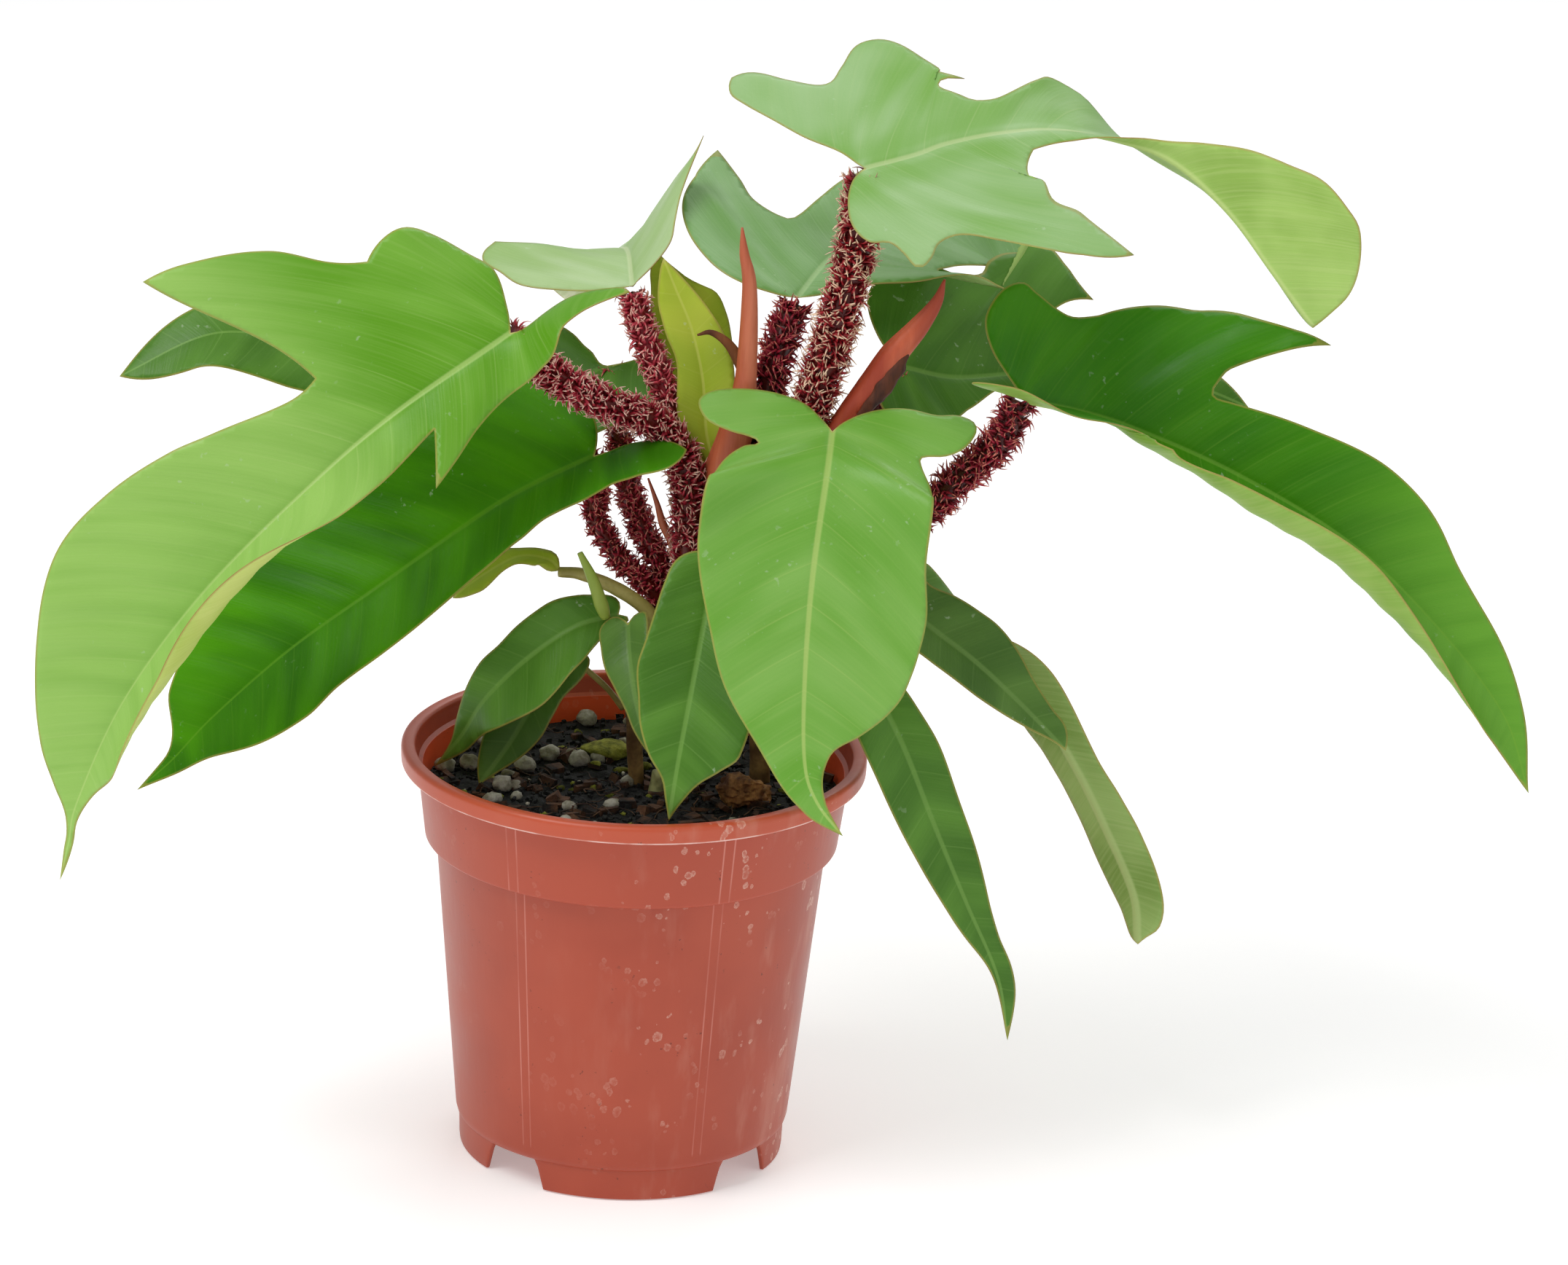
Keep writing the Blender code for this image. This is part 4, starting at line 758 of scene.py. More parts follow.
def leaf_top_mid():
    """Lobed blade at the top middle, reaching back and to the right under the top one."""
    leaf("leaf_top_mid", "top_mid",
         midrib=[(43, 15, 265), (53, 40, 271), (66, 62, 272), (86, 90, 270), (109, 110, 258),
                 (120, 116, 250)],
         face=[(-0.1, -0.85, 0.5), (-0.1, -0.75, 0.6)],
         right=[(3, 3), (14, 12), (20, 16), (34, 30), (62, 44, CORNER), (56, 28), (62, 20), (90, 24),
                (115, 14), (130, 5)],
         left=[(-3, 5), (-5, 18), (-2, 28), (8, 40), (23, 48), (46, 50), (56, 51, CORNER), (47, 39),
               (39, 30), (36, 19), (40, 18), (51, 20), (64, 23), (76, 24), (82, 26), (100, 23), (118, 15),
               (130, 6)])


def leaf_top_right():
    """Large milky five-lobed blade at the top right, its end lobe twisting over and hanging."""
    leaf("leaf_top_right", "top_right",
         midrib=[(61, -5, 311), (75, 0, 314), (85, 4, 317), (100, 7, 320), (116, 10, 321), (134, 10, 319),
                 (151, 6, 314), (168, 0, 301), (182, -8, 285), (194, -14, 271)],
         face=[(-0.1, -0.4, 0.9), (-0.1, -0.4, 0.9), (-0.1, -0.4, 0.9), (-0.1, -0.35, 0.9),
               (-0.1, -0.15, 1), (0, 0.4, 0.9), (0.3, 0.9, 0.35), (0.4, 0.9, 0.3), (0.5, 0.85, 0.2),
               (0.5, 0.85, 0.1)],
         bend=[(0, 0, 0, 0), (0, 0, 0, 0), (0, 0, 0, 0), (0, 0, 0, 0), (0, 0, 0, 0), (10, 0, 0, 0),
               (40, 0, 0, 0), (50, 0, 0, 0), (50, 0, 0, 0), (40, 0, 0, 0)],
         right=[(-6, 5), (-11, 15), (-13, 25), (-11, 33), (-6, 35), (-4, 41), (-3, 48), (-1, 49), (3, 46),
                (8, 40), (15, 39), (24, 46), (33, 54), (42, 61), (57, 67, CORNER), (53, 57), (48, 46),
                (42, 35), (45, 21), (50, 10, CORNER), (75, 6), (90, 6), (99, 12), (110, 22), (119, 28),
                (129, 35), (141, 36), (146, 34), (154, 25), (158, 17), (159, 8)],
         left=[(-1, 2), (-4, 10), (-11, 20), (-17, 32), (-22, 42), (-24, 48), (-21, 55, CORNER), (-14, 55),
               (-5, 47), (4, 42), (11, 48), (19, 56), (26, 56), (31, 51), (35, 41), (42, 25, CORNER),
               (37, 25), (38, 19), (40, 16), (46, 16), (59, 24), (66, 28), (72, 24), (84, 14), (100, 12),
               (120, 11), (140, 8), (155, 3)],
         sweep_end=85)


def leaf_right_back():
    """Dark lobed blade at the back right."""
    leaf("leaf_right_back", "dark_back",
         midrib=[(76, 30, 240.3), (91, 36, 236), (111, 45, 235.4), (138, 53, 235.4), (165, 56, 230),
                 (181, 54, 225)],
         face=[(0, -0.65, 0.75)],
         right=[(-8, 6), (-9, 16), (0, 21), (17, 14), (20, 11), (32, 5), (45, 10), (70, 14), (90, 10),
                (105, 4)],
         left=[(-8, 8), (-11, 20), (-8, 28), (0, 34), (12, 39), (21, 38), (27, 39), (30, 41), (33, 46),
               (40, 52), (51, 54), (63, 45), (64, 37), (66, 29), (68, 24, CORNER), (58, 23), (52, 17),
               (70, 16), (90, 11), (105, 4)])


def leaf_right_big():
    """Long lobed blade reaching down to the right, its near side rolled over the midrib."""
    leaf("leaf_right_big", "right_big",
         midrib=[(111, -10, 244), (129, -4, 239), (145, -6, 235), (175, -14, 225), (208, -24, 209),
                 (234, -34, 188), (255, -42, 164), (264, -46, 141)],
         face=[(0, -0.85, 0.5), (0, -0.85, 0.5), (0, -0.92, 0.38), (0, -0.945, 0.326)],
         bend=[(0, 0, 70, 0), (0, 0, 70, 0), (0, 0, 50, 2.5), (0, 0, 18, 5), (0, 0, 12, 5.4)],
         right=[(-8, 4), (-18, 7), (-22, 11), (-16, 16), (-4, 18), (15, 19), (35, 23), (50, 24, CORNER),
                (54, 20), (70, 24), (95, 26), (120, 26), (145, 22), (170, 14), (188, 5)],
         left=[(-6, 6), (-12, 13), (-15, 21), (-13, 28), (-9, 33), (-4, 35), (0, 33), (11, 28), (18, 29),
               (40, 37), (48, 39), (57, 42), (68, 45), (79, 45, CORNER), (69, 39), (55, 27), (53, 22),
               (53, 18), (58, 18), (77, 21), (90, 23), (103, 24), (114, 23), (123, 21), (136, 16),
               (160, 11), (180, 5)],
         ears=(0, 0, 85, 0))


def leaf_front():
    """Broad arrow-shaped blade hanging in front of the pot."""
    leaf("leaf_front", "front",
         midrib=[(55, -20, 235), (54, -34, 227), (51, -50, 200), (50, -60, 172), (51, -68, 149),
                 (55, -74, 139), (63, -80, 131)],
         face=[(0, -0.85, 0.5), (0.05, -0.95, 0.3), (0.05, -0.95, 0.3), (0.05, -0.95, 0.3), (0, -1, 0.1)],
         right=[(-5, 4), (-10, 9), (-13, 16), (-14, 24), (-13, 32), (-11, 37), (-7, 40), (-2, 39), (2, 36),
                (5, 29), (6, 24), (8, 21), (10, 25), (16, 30), (24, 33), (35, 35), (47, 34), (64, 29),
                (82, 23), (100, 12), (112, 6), (118, 4)],
         left=[(-4, 3), (-8, 8), (-11, 15), (-12, 22), (-11, 30), (-12, 36), (-10, 41), (-6, 42), (1, 39),
               (5, 34), (7, 27), (10, 27), (21, 31), (38, 32), (57, 35), (79, 30), (87, 25), (94, 17),
               (99, 9), (104, 6), (110, 4), (117, 2)])


def leaf_front_small():
    """Dark entire blade hanging left of the front one."""
    leaf("leaf_front_small", "dark_back",
         midrib=[(23, -26, 197), (20, -36, 180), (17, -46, 161), (14, -55, 142), (12, -58, 125)],
         face=[(-0.1, -0.9, 0.3), (-0.1, -0.9, 0.3), (-0.1, -0.9, 0.3), (0, -1, 0.1)],
         bend=[(8, 0, 8, 0)],
         right=[(0, 7), (4, 12), (12, 14), (21, 15), (29, 16), (37, 17), (46, 15), (54, 13), (62, 9),
                (68, 4), (74, 2)],
         left=[(-6, 6), (-2, 13), (15, 18), (35, 20), (58, 18), (63, 13), (68, 7), (74, 3)])


def small_leaves():
    """Young entire blades of the side shoots."""
    leaf("leaf_shoot_front", "young_dark",
         midrib=[(-3, -15, 171), (-2, -23, 164), (0, -30, 155), (3, -36, 146), (6, -40, 138)],
         face=[(-0.3, -0.9, 0.3)],
         bend=[(15, 0, 0, 0)],
         right=[(-3, 3), (-3, 6), (0, 9), (6, 9), (14, 8), (20, 6), (27, 4), (34, 3)],
         left=[(-1, 1), (-2, 4), (-1, 7), (10, 7), (25, 8), (36, 5)],
         cell=SMALL_CELL)
    leaf("leaf_shoot_left", "dark_back",
         midrib=[(-6, -4, 170), (-19, -9, 167), (-33, -12, 157), (-45, -10, 143), (-52, -4, 129),
                 (-60, 2, 117)],
         face=[(-0.2, -0.75, 0.6), (-0.2, -0.75, 0.6), (-0.2, -0.75, 0.6), (-0.2, -0.75, 0.6),
               (-0.2, -0.8, 0.5)],
         bend=[(5, 0, 5, 0)],
         right=[(-1, 5), (5, 8), (12, 9), (19, 10), (28, 10), (36, 9), (44, 9), (57, 6), (65, 4),
                (72, 1.5)],
         left=[(-2, 3), (5, 5), (11, 9), (17, 13), (25, 15), (36, 16), (48, 12), (61, 6), (70, 4)])
    leaf("leaf_shoot_low", "young_dark",
         midrib=[(-20, 0, 154), (-29, -3, 143), (-37, -6, 128.7), (-46, -8, 115.2)],
         face=[(-0.2, -0.8, 0.5)],
         bend=[(5, 0, 5, 0)],
         right=[(-4, 4), (0, 8), (15, 11), (28, 10), (40, 6)],
         left=[(-4, 4), (0, 7), (10, 7), (16, 8), (24, 8), (32, 6), (42, 2)],
         cell=SMALL_CELL)
    leaf("leaf_shoot_upper", "yellow",
         midrib=[(-24, 2, 181), (-28, 3, 184), (-37, 4, 184), (-48, 4, 177), (-56, 4, 170)],
         face=[(-0.1, -0.5, 0.85)],
         right=[(3, 2), (7, 3), (14, 3), (22, 6), (32, 4)],
         left=[(4, 4), (10, 4), (19, 3), (28, 5), (34, 3)],
         cell=SMALL_CELL)


def right_leaves():
    """Narrow blades low on the right, the middle one hanging with its pale underside out."""
    leaf("leaf_right_short", "young_dark",
         midrib=[(75, 0, 178), (88, -3, 169), (101, -5, 160), (115, -7, 148), (129, -10, 135)],
         face=[(0.1, -0.8, 0.6)],
         bend=[(6, 0, 6, 0)],
         right=[(-5, 5), (0, 10), (18, 9), (34, 9), (46, 7), (57, 4), (65, 1)],
         left=[(-5, 5), (0, 11), (7, 10), (14, 12), (21, 13), (30, 13), (40, 11), (49, 8), (58, 6),
               (65, 5)],
         cell=SMALL_CELL)
    leaf("leaf_right_turned", "turned",
         midrib=[(75, 20, 178), (95, 20, 165), (115, 18, 148), (132, 16, 123), (144, 14, 101),
                 (153, 10, 82), (155, 8, 67)],
         face=[(0, -0.3, 0.9), (0.1, 0.3, 0.9), (0.3, 0.8, 0.5), (0.4, 0.9, 0.2)],
         bend=[(6, 0, 6, 0)],
         right=[(-5, 5), (0, 11), (20, 14), (45, 12), (84, 8), (97, 9), (110, 10), (130, 9), (137, 7),
                (140, 3)],
         left=[(-5, 5), (0, 11), (20, 14), (45, 14), (65, 12), (76, 9), (99, 8), (123, 8), (139, 3)])
    leaf("leaf_right_low", "dark_back",
         midrib=[(69, -16, 158), (80, -22, 139), (90, -24, 116), (101, -24, 91), (112, -22, 66),
                 (116, -20, 45)],
         face=[(0.2, -0.9, 0.4)],
         bend=[(8, 0, 8, 0)],
         right=[(-5, 5), (0, 10), (16, 12), (32, 12), (59, 9), (73, 7), (85, 5), (98, 2), (110, 1)],
         left=[(-5, 5), (8, 8), (17, 9), (27, 10), (38, 10), (62, 9), (90, 5), (101, 5), (110, 4)])


def centre_leaves():
    """Two upright young blades in the middle."""
    leaf("leaf_yellow", "yellow",
         midrib=[(22, 6, 211), (18, 8, 223), (16, 11, 240), (12, 13, 255), (7, 15, 266), (3, 16, 275)],
         face=[(-0.1, -0.9, 0.2)],
         bend=[(14, 0, 14, 0)],
         right=[(4, 2), (12, 5), (20, 9), (30, 10), (38, 10), (44, 9), (50, 7), (59, 4)],
         left=[(4, 2), (10, 4), (20, 8), (28, 8), (37, 7), (46, 8), (55, 7), (64, 3)])
    leaf("leaf_yellow_back", "yellow",
         midrib=[(19, 26, 210), (16, 30, 227), (12, 34, 244), (8, 37, 259), (1, 39, 270)],
         face=[(0, -0.9, 0.3)],
         right=[(-4, 5), (6, 8), (18, 8), (27, 11), (35, 12), (42, 12), (49, 10), (52, 6), (55, 3)],
         left=[(-4, 5), (5, 10), (25, 13), (45, 11), (60, 6)])


# ---------------------------------------------------------------- pot and soil

RIM_RADIUS = 70.0
FOOT_RADIUS = 49.21
BAND_TOP = 65.0
BAND_BOTTOM = 62.2
STEP_Z = 98.4
BODY_TOP = 58.8
WALL = 1.4
FOOT_HEIGHT = 10.0
FLOOR_TOP = 11.6
NOTCH_HEIGHT = 9.4
NOTCH_TURN = 50.2
NOTCH_WIDE = 13.6
NOTCH_NARROW = 10.3
RIB_TURN = 268.0                 # degrees round the pot to the gap before a pair of rib lines
RIB_STEP = 60.0
RIB_HEIGHT = 0.1
DRAIN_HOLES = 6
DRAIN_RADIUS = 4.0
DRAIN_SIDES = 20
FLOOR_SIDES = 72
STEP = STEP_Z * MM
LIP = 0.1211                     # height of the lip's lower edge, in metres
POT_LIGHT = (178, 79, 56)
POT_DARK = (166, 69, 47)
POT_BAND = (182, 78, 54)
POT_LIP = (196, 88, 60)
# painted light: the inner wall's orange, brighter than the outside of the pot
POT_INNER_PAINTED_LIGHT = (244, 96, 56)


def body_radius(z):
    """Outer radius of the tapered body at a height."""
    foot = FOOT_RADIUS + 1.2
    return foot + (BODY_TOP - foot) * (z - FOOT_HEIGHT) / (STEP_Z - FOOT_HEIGHT)


def pot_profile():
    """(radius, height, rib weight, foot weight) round the wall, from the floor over the lip and down."""
    out = []

    def run(a, b, pieces, rib=0.0, foot=0.0):
        for k in range(pieces):
            t = k / pieces
            out.append((a[0] + (b[0] - a[0]) * t, a[1] + (b[1] - a[1]) * t, rib, foot))

    def turn(centre, radius, start, end, pieces):
        for k in range(pieces):
            a = math.radians(start + (end - start) * k / pieces)
            out.append((centre[0] + radius * math.cos(a), centre[1] + radius * math.sin(a), 0.0, 0.0))

    run((body_radius(14) - WALL, 13.0), (BODY_TOP - WALL - 0.15, STEP_Z - 3.5), 10)
    run((BODY_TOP - WALL, STEP_Z - 1.8), (BAND_BOTTOM - WALL - 0.2, STEP_Z + 0.2), 3)
    run((BAND_BOTTOM - WALL, STEP_Z + 0.9), (BAND_TOP - WALL - 0.3, 120.2), 8)
    run((BAND_TOP - WALL - 0.25, 120.4), (BAND_TOP - WALL + 0.6, 121.0), 2)
    run((BAND_TOP - WALL + 1.0, 121.3), (RIM_RADIUS - 4.3, 125.6), 4)
    turn((RIM_RADIUS - 3.0, 125.7), 1.3, 180, 90, 6)
    turn((RIM_RADIUS - 1.5, 125.5), 1.5, 90, 0, 8)
    run((RIM_RADIUS, 125.4), (RIM_RADIUS - 0.1, 122.3), 4)
    turn((RIM_RADIUS - 0.75, 122.1), 0.6, 0, -90, 4)
    run((RIM_RADIUS - 0.9, 121.45), (BAND_TOP + 0.4, 121.5), 3)
    run((BAND_TOP + 0.05, 121.2), (BAND_BOTTOM + 0.05, STEP_Z + 1.0), 12)
    turn((BAND_BOTTOM - 0.85, STEP_Z + 0.95), 0.9, 0, -90, 4)
    run((BAND_BOTTOM - 1.2, STEP_Z), (BODY_TOP + 0.5, STEP_Z - 0.05), 3)
    run((BODY_TOP, STEP_Z - 0.4), (body_radius(14.0), 14.0), 24, 1.0)
    run((body_radius(13.6), 13.6), (body_radius(10.4), 10.4), 3, 0.6)
    run((FOOT_RADIUS + 0.9, 10.0), (FOOT_RADIUS + 0.35, 9.45), 2)
    run((FOOT_RADIUS + 0.3, 9.4), (FOOT_RADIUS, 0.4), 8, 0.0, 1.0)
    run((FOOT_RADIUS - 0.15, 0.1), (FOOT_RADIUS - 0.5, 0.0), 2, 0.0, 1.0)
    run((FOOT_RADIUS - WALL + 0.3, 0.0), (FOOT_RADIUS - WALL, 0.4), 2, 0.0, 1.0)
    run((FOOT_RADIUS - WALL, 1.2), (FOOT_RADIUS - WALL, 9.4), 7, 0.0, 1.0)
    out.append((FOOT_RADIUS - WALL - 0.2, 9.7, 0.0, 0.0))
    out.append((FOOT_RADIUS - WALL - 0.6, 10.0, 0.0, 0.0))
    return out


def azimuths():
    """Even steps round the pot, with extra ones at every notch side."""
    angles = list(np.arange(0, 360, 1.5))
    for k in range(4):
        for side in (-1, 1):
            for edge in (NOTCH_WIDE + 0.05, NOTCH_WIDE - 0.25):
                angles.append((NOTCH_TURN + 90 * k + side * edge) % 360)
    return np.array(sorted(angles))


def notch_lift(angle):
    """Height the foot ring's lower edge is raised to at an angle."""
    off = np.abs((angle - NOTCH_TURN + 45.0) % 90.0 - 45.0)
    share = np.clip((NOTCH_WIDE - off) / (NOTCH_WIDE - NOTCH_NARROW), 0.0, 1.0)
    return share * NOTCH_HEIGHT * (off < NOTCH_WIDE)


def pot():
    """Moulded pot with its lip, band, faint ribs, notched foot ring and drained floor."""
    profile = pot_profile()
    angles = azimuths()
    lift = notch_lift(angles)
    turn = np.radians(angles)
    off = np.abs((angles - RIB_TURN) % RIB_STEP - 0.5 * RIB_STEP)
    ridge = np.clip(1.0 - off / 3.0, 0.0, 1.0)
    verts = []
    for r, z, rib, foot in profile:
        radius = r + RIB_HEIGHT * rib * ridge
        height = z + foot * lift * (1.0 - z / NOTCH_HEIGHT)
        verts.append(np.stack([radius * np.cos(turn), radius * np.sin(turn), height], axis=-1))
    faces = turned(quads(len(profile), len(angles)))
    verts, faces = join([(np.concatenate(verts), faces), pot_floor()])
    piece = mesh_piece("pot_body", verts, faces, [terracotta()], SLOTS["pot"], "pot")
    piece.data.set_sharp_from_angle(angle=math.radians(38))


def pot_floor():
    """Two flat sheets with drain holes and their walls: verts and faces."""
    around = np.linspace(0, 2 * math.pi, FLOOR_SIDES, endpoint=False)
    points = [Vector(((FOOT_RADIUS - 2.0) * math.cos(a), (FOOT_RADIUS - 2.0) * math.sin(a))) for a in around]
    loops = [list(range(FLOOR_SIDES))]
    centres = []
    for hole in range(DRAIN_HOLES):
        turn = (hole + 0.5) * 2 * math.pi / DRAIN_HOLES
        centre = np.array([math.cos(turn), math.sin(turn)]) * 0.62 * FOOT_RADIUS
        loops.append(list(range(len(points), len(points) + DRAIN_SIDES)))
        centres.append(centre)
        for k in range(DRAIN_SIDES):
            a = 2 * math.pi * k / DRAIN_SIDES
            points.append(Vector(centre + DRAIN_RADIUS * np.array([math.cos(a), math.sin(a)])))
    edges = [pair for loop in loops for pair in zip(loop, loop[1:] + loop[:1])]
    result = delaunay_2d_cdt(points, edges, [], 1, 1e-6)
    flat = np.array([(p.x, p.y) for p in result[0]])
    faces = [f for f in result[2]
             if all(np.linalg.norm(flat[list(f)].mean(axis=0) - c) > DRAIN_RADIUS for c in centres)]
    count = len(flat)
    verts = np.concatenate([np.column_stack([flat, np.full(count, FLOOR_TOP)]),
                            np.column_stack([flat, np.full(count, FOOT_HEIGHT)])])
    out = [list(f) for f in faces] + [[i + count for i in f][::-1] for f in faces]
    for loop in loops[1:]:
        out += [[a, a + count, b + count, b] for a, b in zip(loop, loop[1:] + loop[:1])]
    rim = loops[0]
    out += [[a, b, b + count, a + count] for a, b in zip(rim, rim[1:] + rim[:1])]
    return verts, out


def round_pot(g):
    """Distance from the pot's axis, degrees round it, sideways offset from it, and height."""
    split = g.nodes.new("ShaderNodeSeparateXYZ")
    g.feed(split.inputs[0], g.place)
    x, y, z = split.outputs
    dx = g.minus(x, AXIS_X)
    dy = g.minus(y, AXIS_Y)
    radius = g.math("SQRT", g.plus(g.times(dx, dx), g.times(dy, dy)))
    return radius, g.times(g.math("ARCTAN2", dy, dx), 180.0 / math.pi), dx, z


def pot_zones(g, radius, z, wall):
    """Brighter band and lip, and painted light on the inner wall above the step: a glowing orange, brighter
    than the outside.
    """
    g.tint(g.times(g.step(z, STEP - 0.0009, STEP + 0.0001), 0.55), POT_BAND)
    lip = g.times(g.step(z, LIP, LIP + 0.0004), g.step(radius, 0.0655, 0.0658))
    g.tint(g.times(lip, 0.8), POT_LIP)
    # painted light: the inner wall above the soil drawn a brighter orange than the outside
    inner = g.times(g.step(g.minus(wall, radius), 0.0, 0.0004), g.step(z, STEP + 0.0006, STEP + 0.0016))
    inner = g.times(inner, g.step(z, LIP - 0.0005, LIP - 0.0008))
    g.tint(g.times(inner, 0.85), POT_INNER_PAINTED_LIGHT)


def rib_lines(g, radius, turn, z, wall):
    """Worn pale lines along the moulded ribs, in pairs round the outside, below the lip."""
    turn = g.minus(g.math("MODULO", g.plus(turn, 360.0 - RIB_TURN + 6 * RIB_STEP), RIB_STEP), 0.5 * RIB_STEP)
    line = g.step(g.math("ABSOLUTE", g.minus(g.math("ABSOLUTE", turn), 1.5)), 0.05, 0.34, 1.0, 0.0)
    outside = g.step(g.minus(radius, wall), 0.0004, 0.0008)
    outside = g.math("MAXIMUM", outside, g.step(z, STEP - 0.0009, STEP - 0.0014))
    line = g.times(g.times(line, outside), g.step(z, LIP, LIP - 0.0006))
    line = g.times(line, g.step(z, 0.013, 0.0145))
    worn = g.step(g.noise(1.0, 3.0, g.stretch(g.place, (60.0, 60.0, 30.0))), 0.3, 0.65, 0.08, 0.5)
    g.tint(g.times(line, worn), (232, 160, 146))


def lime(g, dx):
    """Dried lime: clustered spots and long smears, thicker on the right."""
    cell = g.plus(g.cells(300.0, g.stretch(g.place, (1.0, 1.0, 0.8))), g.times(g.noise(900.0, 2.0), 0.3))
    size = g.step(g.noise(75.0, 2.0), 0.38, 0.7, 0.12, 0.58)
    ring = g.step(g.math("DIVIDE", cell, size), 0.35, 0.95, 0.25, 0.9)
    side = g.step(dx, -0.02, 0.03, 0.12, 1.0)
    spots = g.times(g.times(g.math("LESS_THAN", cell, size), ring), side)
    spots = g.times(spots, g.step(g.noise(35.0), 0.42, 0.6))
    speckle = g.step(g.noise(1400.0, 2.0), 0.35, 0.6, 0.2, 0.55)
    g.tint(g.times(spots, speckle), (236, 200, 182))
    smear = g.step(g.noise(1.0, 4.0, g.stretch(g.place, (90.0, 90.0, 25.0))), 0.52, 0.72)
    g.tint(g.times(g.times(smear, side), 0.22), (216, 160, 140))


def terracotta():
    """Semi-gloss terracotta plastic: mottled, lime-spotted, with dirt specks and faint scratches."""
    g = Graph("terracotta_plastic_look")
    radius, turn, dx, z = round_pot(g)
    wall = g.plus(g.times(g.minus(z, STEP), 0.115), 0.0614)           # middle of the band's wall
    tone = g.noise(22.0, 3.0)
    g.tones(g.step(tone, 0.3, 0.7), POT_DARK, POT_LIGHT)
    pot_zones(g, radius, z, wall)
    rib_lines(g, radius, turn, z, wall)
    lime(g, dx)
    dirt = g.times(g.step(g.noise(700.0, 2.0), 0.68, 0.72), g.step(g.noise(60.0), 0.5, 0.65))
    g.tint(g.times(dirt, 0.7), (80, 44, 32))
    lip_edge = g.times(g.step(z, LIP + 0.0011, LIP + 0.0008), g.step(radius, 0.0685, 0.0690))
    g.tint(g.times(lip_edge, g.step(g.noise(120.0), 0.35, 0.6, 0.2, 0.9)), (236, 200, 190))
    scratch = g.noise(1.0, 3.0, g.stretch(g.place, (500.0, 500.0, 60.0)))
    height = g.plus(g.times(scratch, 0.4), g.times(g.noise(160.0, 3.0), 0.6))
    return g.done(g.step(tone, 0.3, 0.7, 0.32, 0.44), g.bump(height, 0.0002, 0.35), Specular_IOR_Level=0.5)


def ground(x, y):
    """Height of the soil's uneven top."""
    h = 0.0
    for scale, layer, size in ((0.11, 1.0, 1.6), (0.33, 5.0, 0.9), (0.9, 9.0, 0.5)):
        h += noise.noise(Vector((x * scale, y * scale, layer))) * size
    return SOIL_TOP + 0.6 + h


def soil_top():
    """Bumpy top of the potting mix."""
    radius = BAND_TOP - WALL - 1.3
    verts, faces = [(0.0, 0.0, ground(0, 0))], []
    rings, sides = 64, 190
    for i in range(1, rings + 1):
        r = radius * i / rings
        for j in range(sides):
            a = 2 * math.pi * j / sides
            x, y = r * math.cos(a), r * math.sin(a)
            drop = 1.4 * max(0.0, (i - rings + 3) / 3)
            verts.append((x, y, ground(x, y) - drop))
    for j in range(sides):
        faces.append([0, 1 + j, 1 + (j + 1) % sides])
    faces += [[i + 1 for i in f] for f in turned(quads(rings, sides))]
    mesh_piece("soil_surface", verts, faces, [PLAIN["soil"]], SLOTS["soil"])


def blob(centre, size, seed, rough, level=3):
    """Uneven rounded lump."""
    made = bmesh.new()
    bmesh.ops.create_icosphere(made, subdivisions=level, radius=1.0)
    made.verts.ensure_lookup_table()
    base = np.array([v.co[:] for v in made.verts])
    faces = [[v.index for v in f.verts] for f in made.faces]
    made.free()
    grow = 1.0 + wobble(base, 1.3, rough, seed) + wobble(base, 4.5, rough * 0.4, seed + 3.0)
    return base * grow[:, None] * np.array(size) + np.array(centre), faces


def chip(rng, low, high, flat):
    """Angular bark chip: a rough box turned at random."""
    size = rng.uniform(low, high, 3) * np.array([1.0, 0.6, flat])
    corners = np.array([[x, y, z] for x in (-1, 1) for y in (-1, 1) for z in (-1, 1)], float) * 0.5
    corners = corners * size * rng.uniform(0.7, 1.1, (8, 3))
    turn = Matrix.Rotation(rng.uniform(0, math.tau), 3, "Z") @ Matrix.Rotation(rng.normal(0, 0.35), 3, "X")
    verts = corners @ np.array(turn).T
    return verts, [[0, 1, 3, 2], [4, 6, 7, 5], [0, 4, 5, 1], [2, 3, 7, 6], [0, 2, 6, 4], [1, 5, 7, 3]]


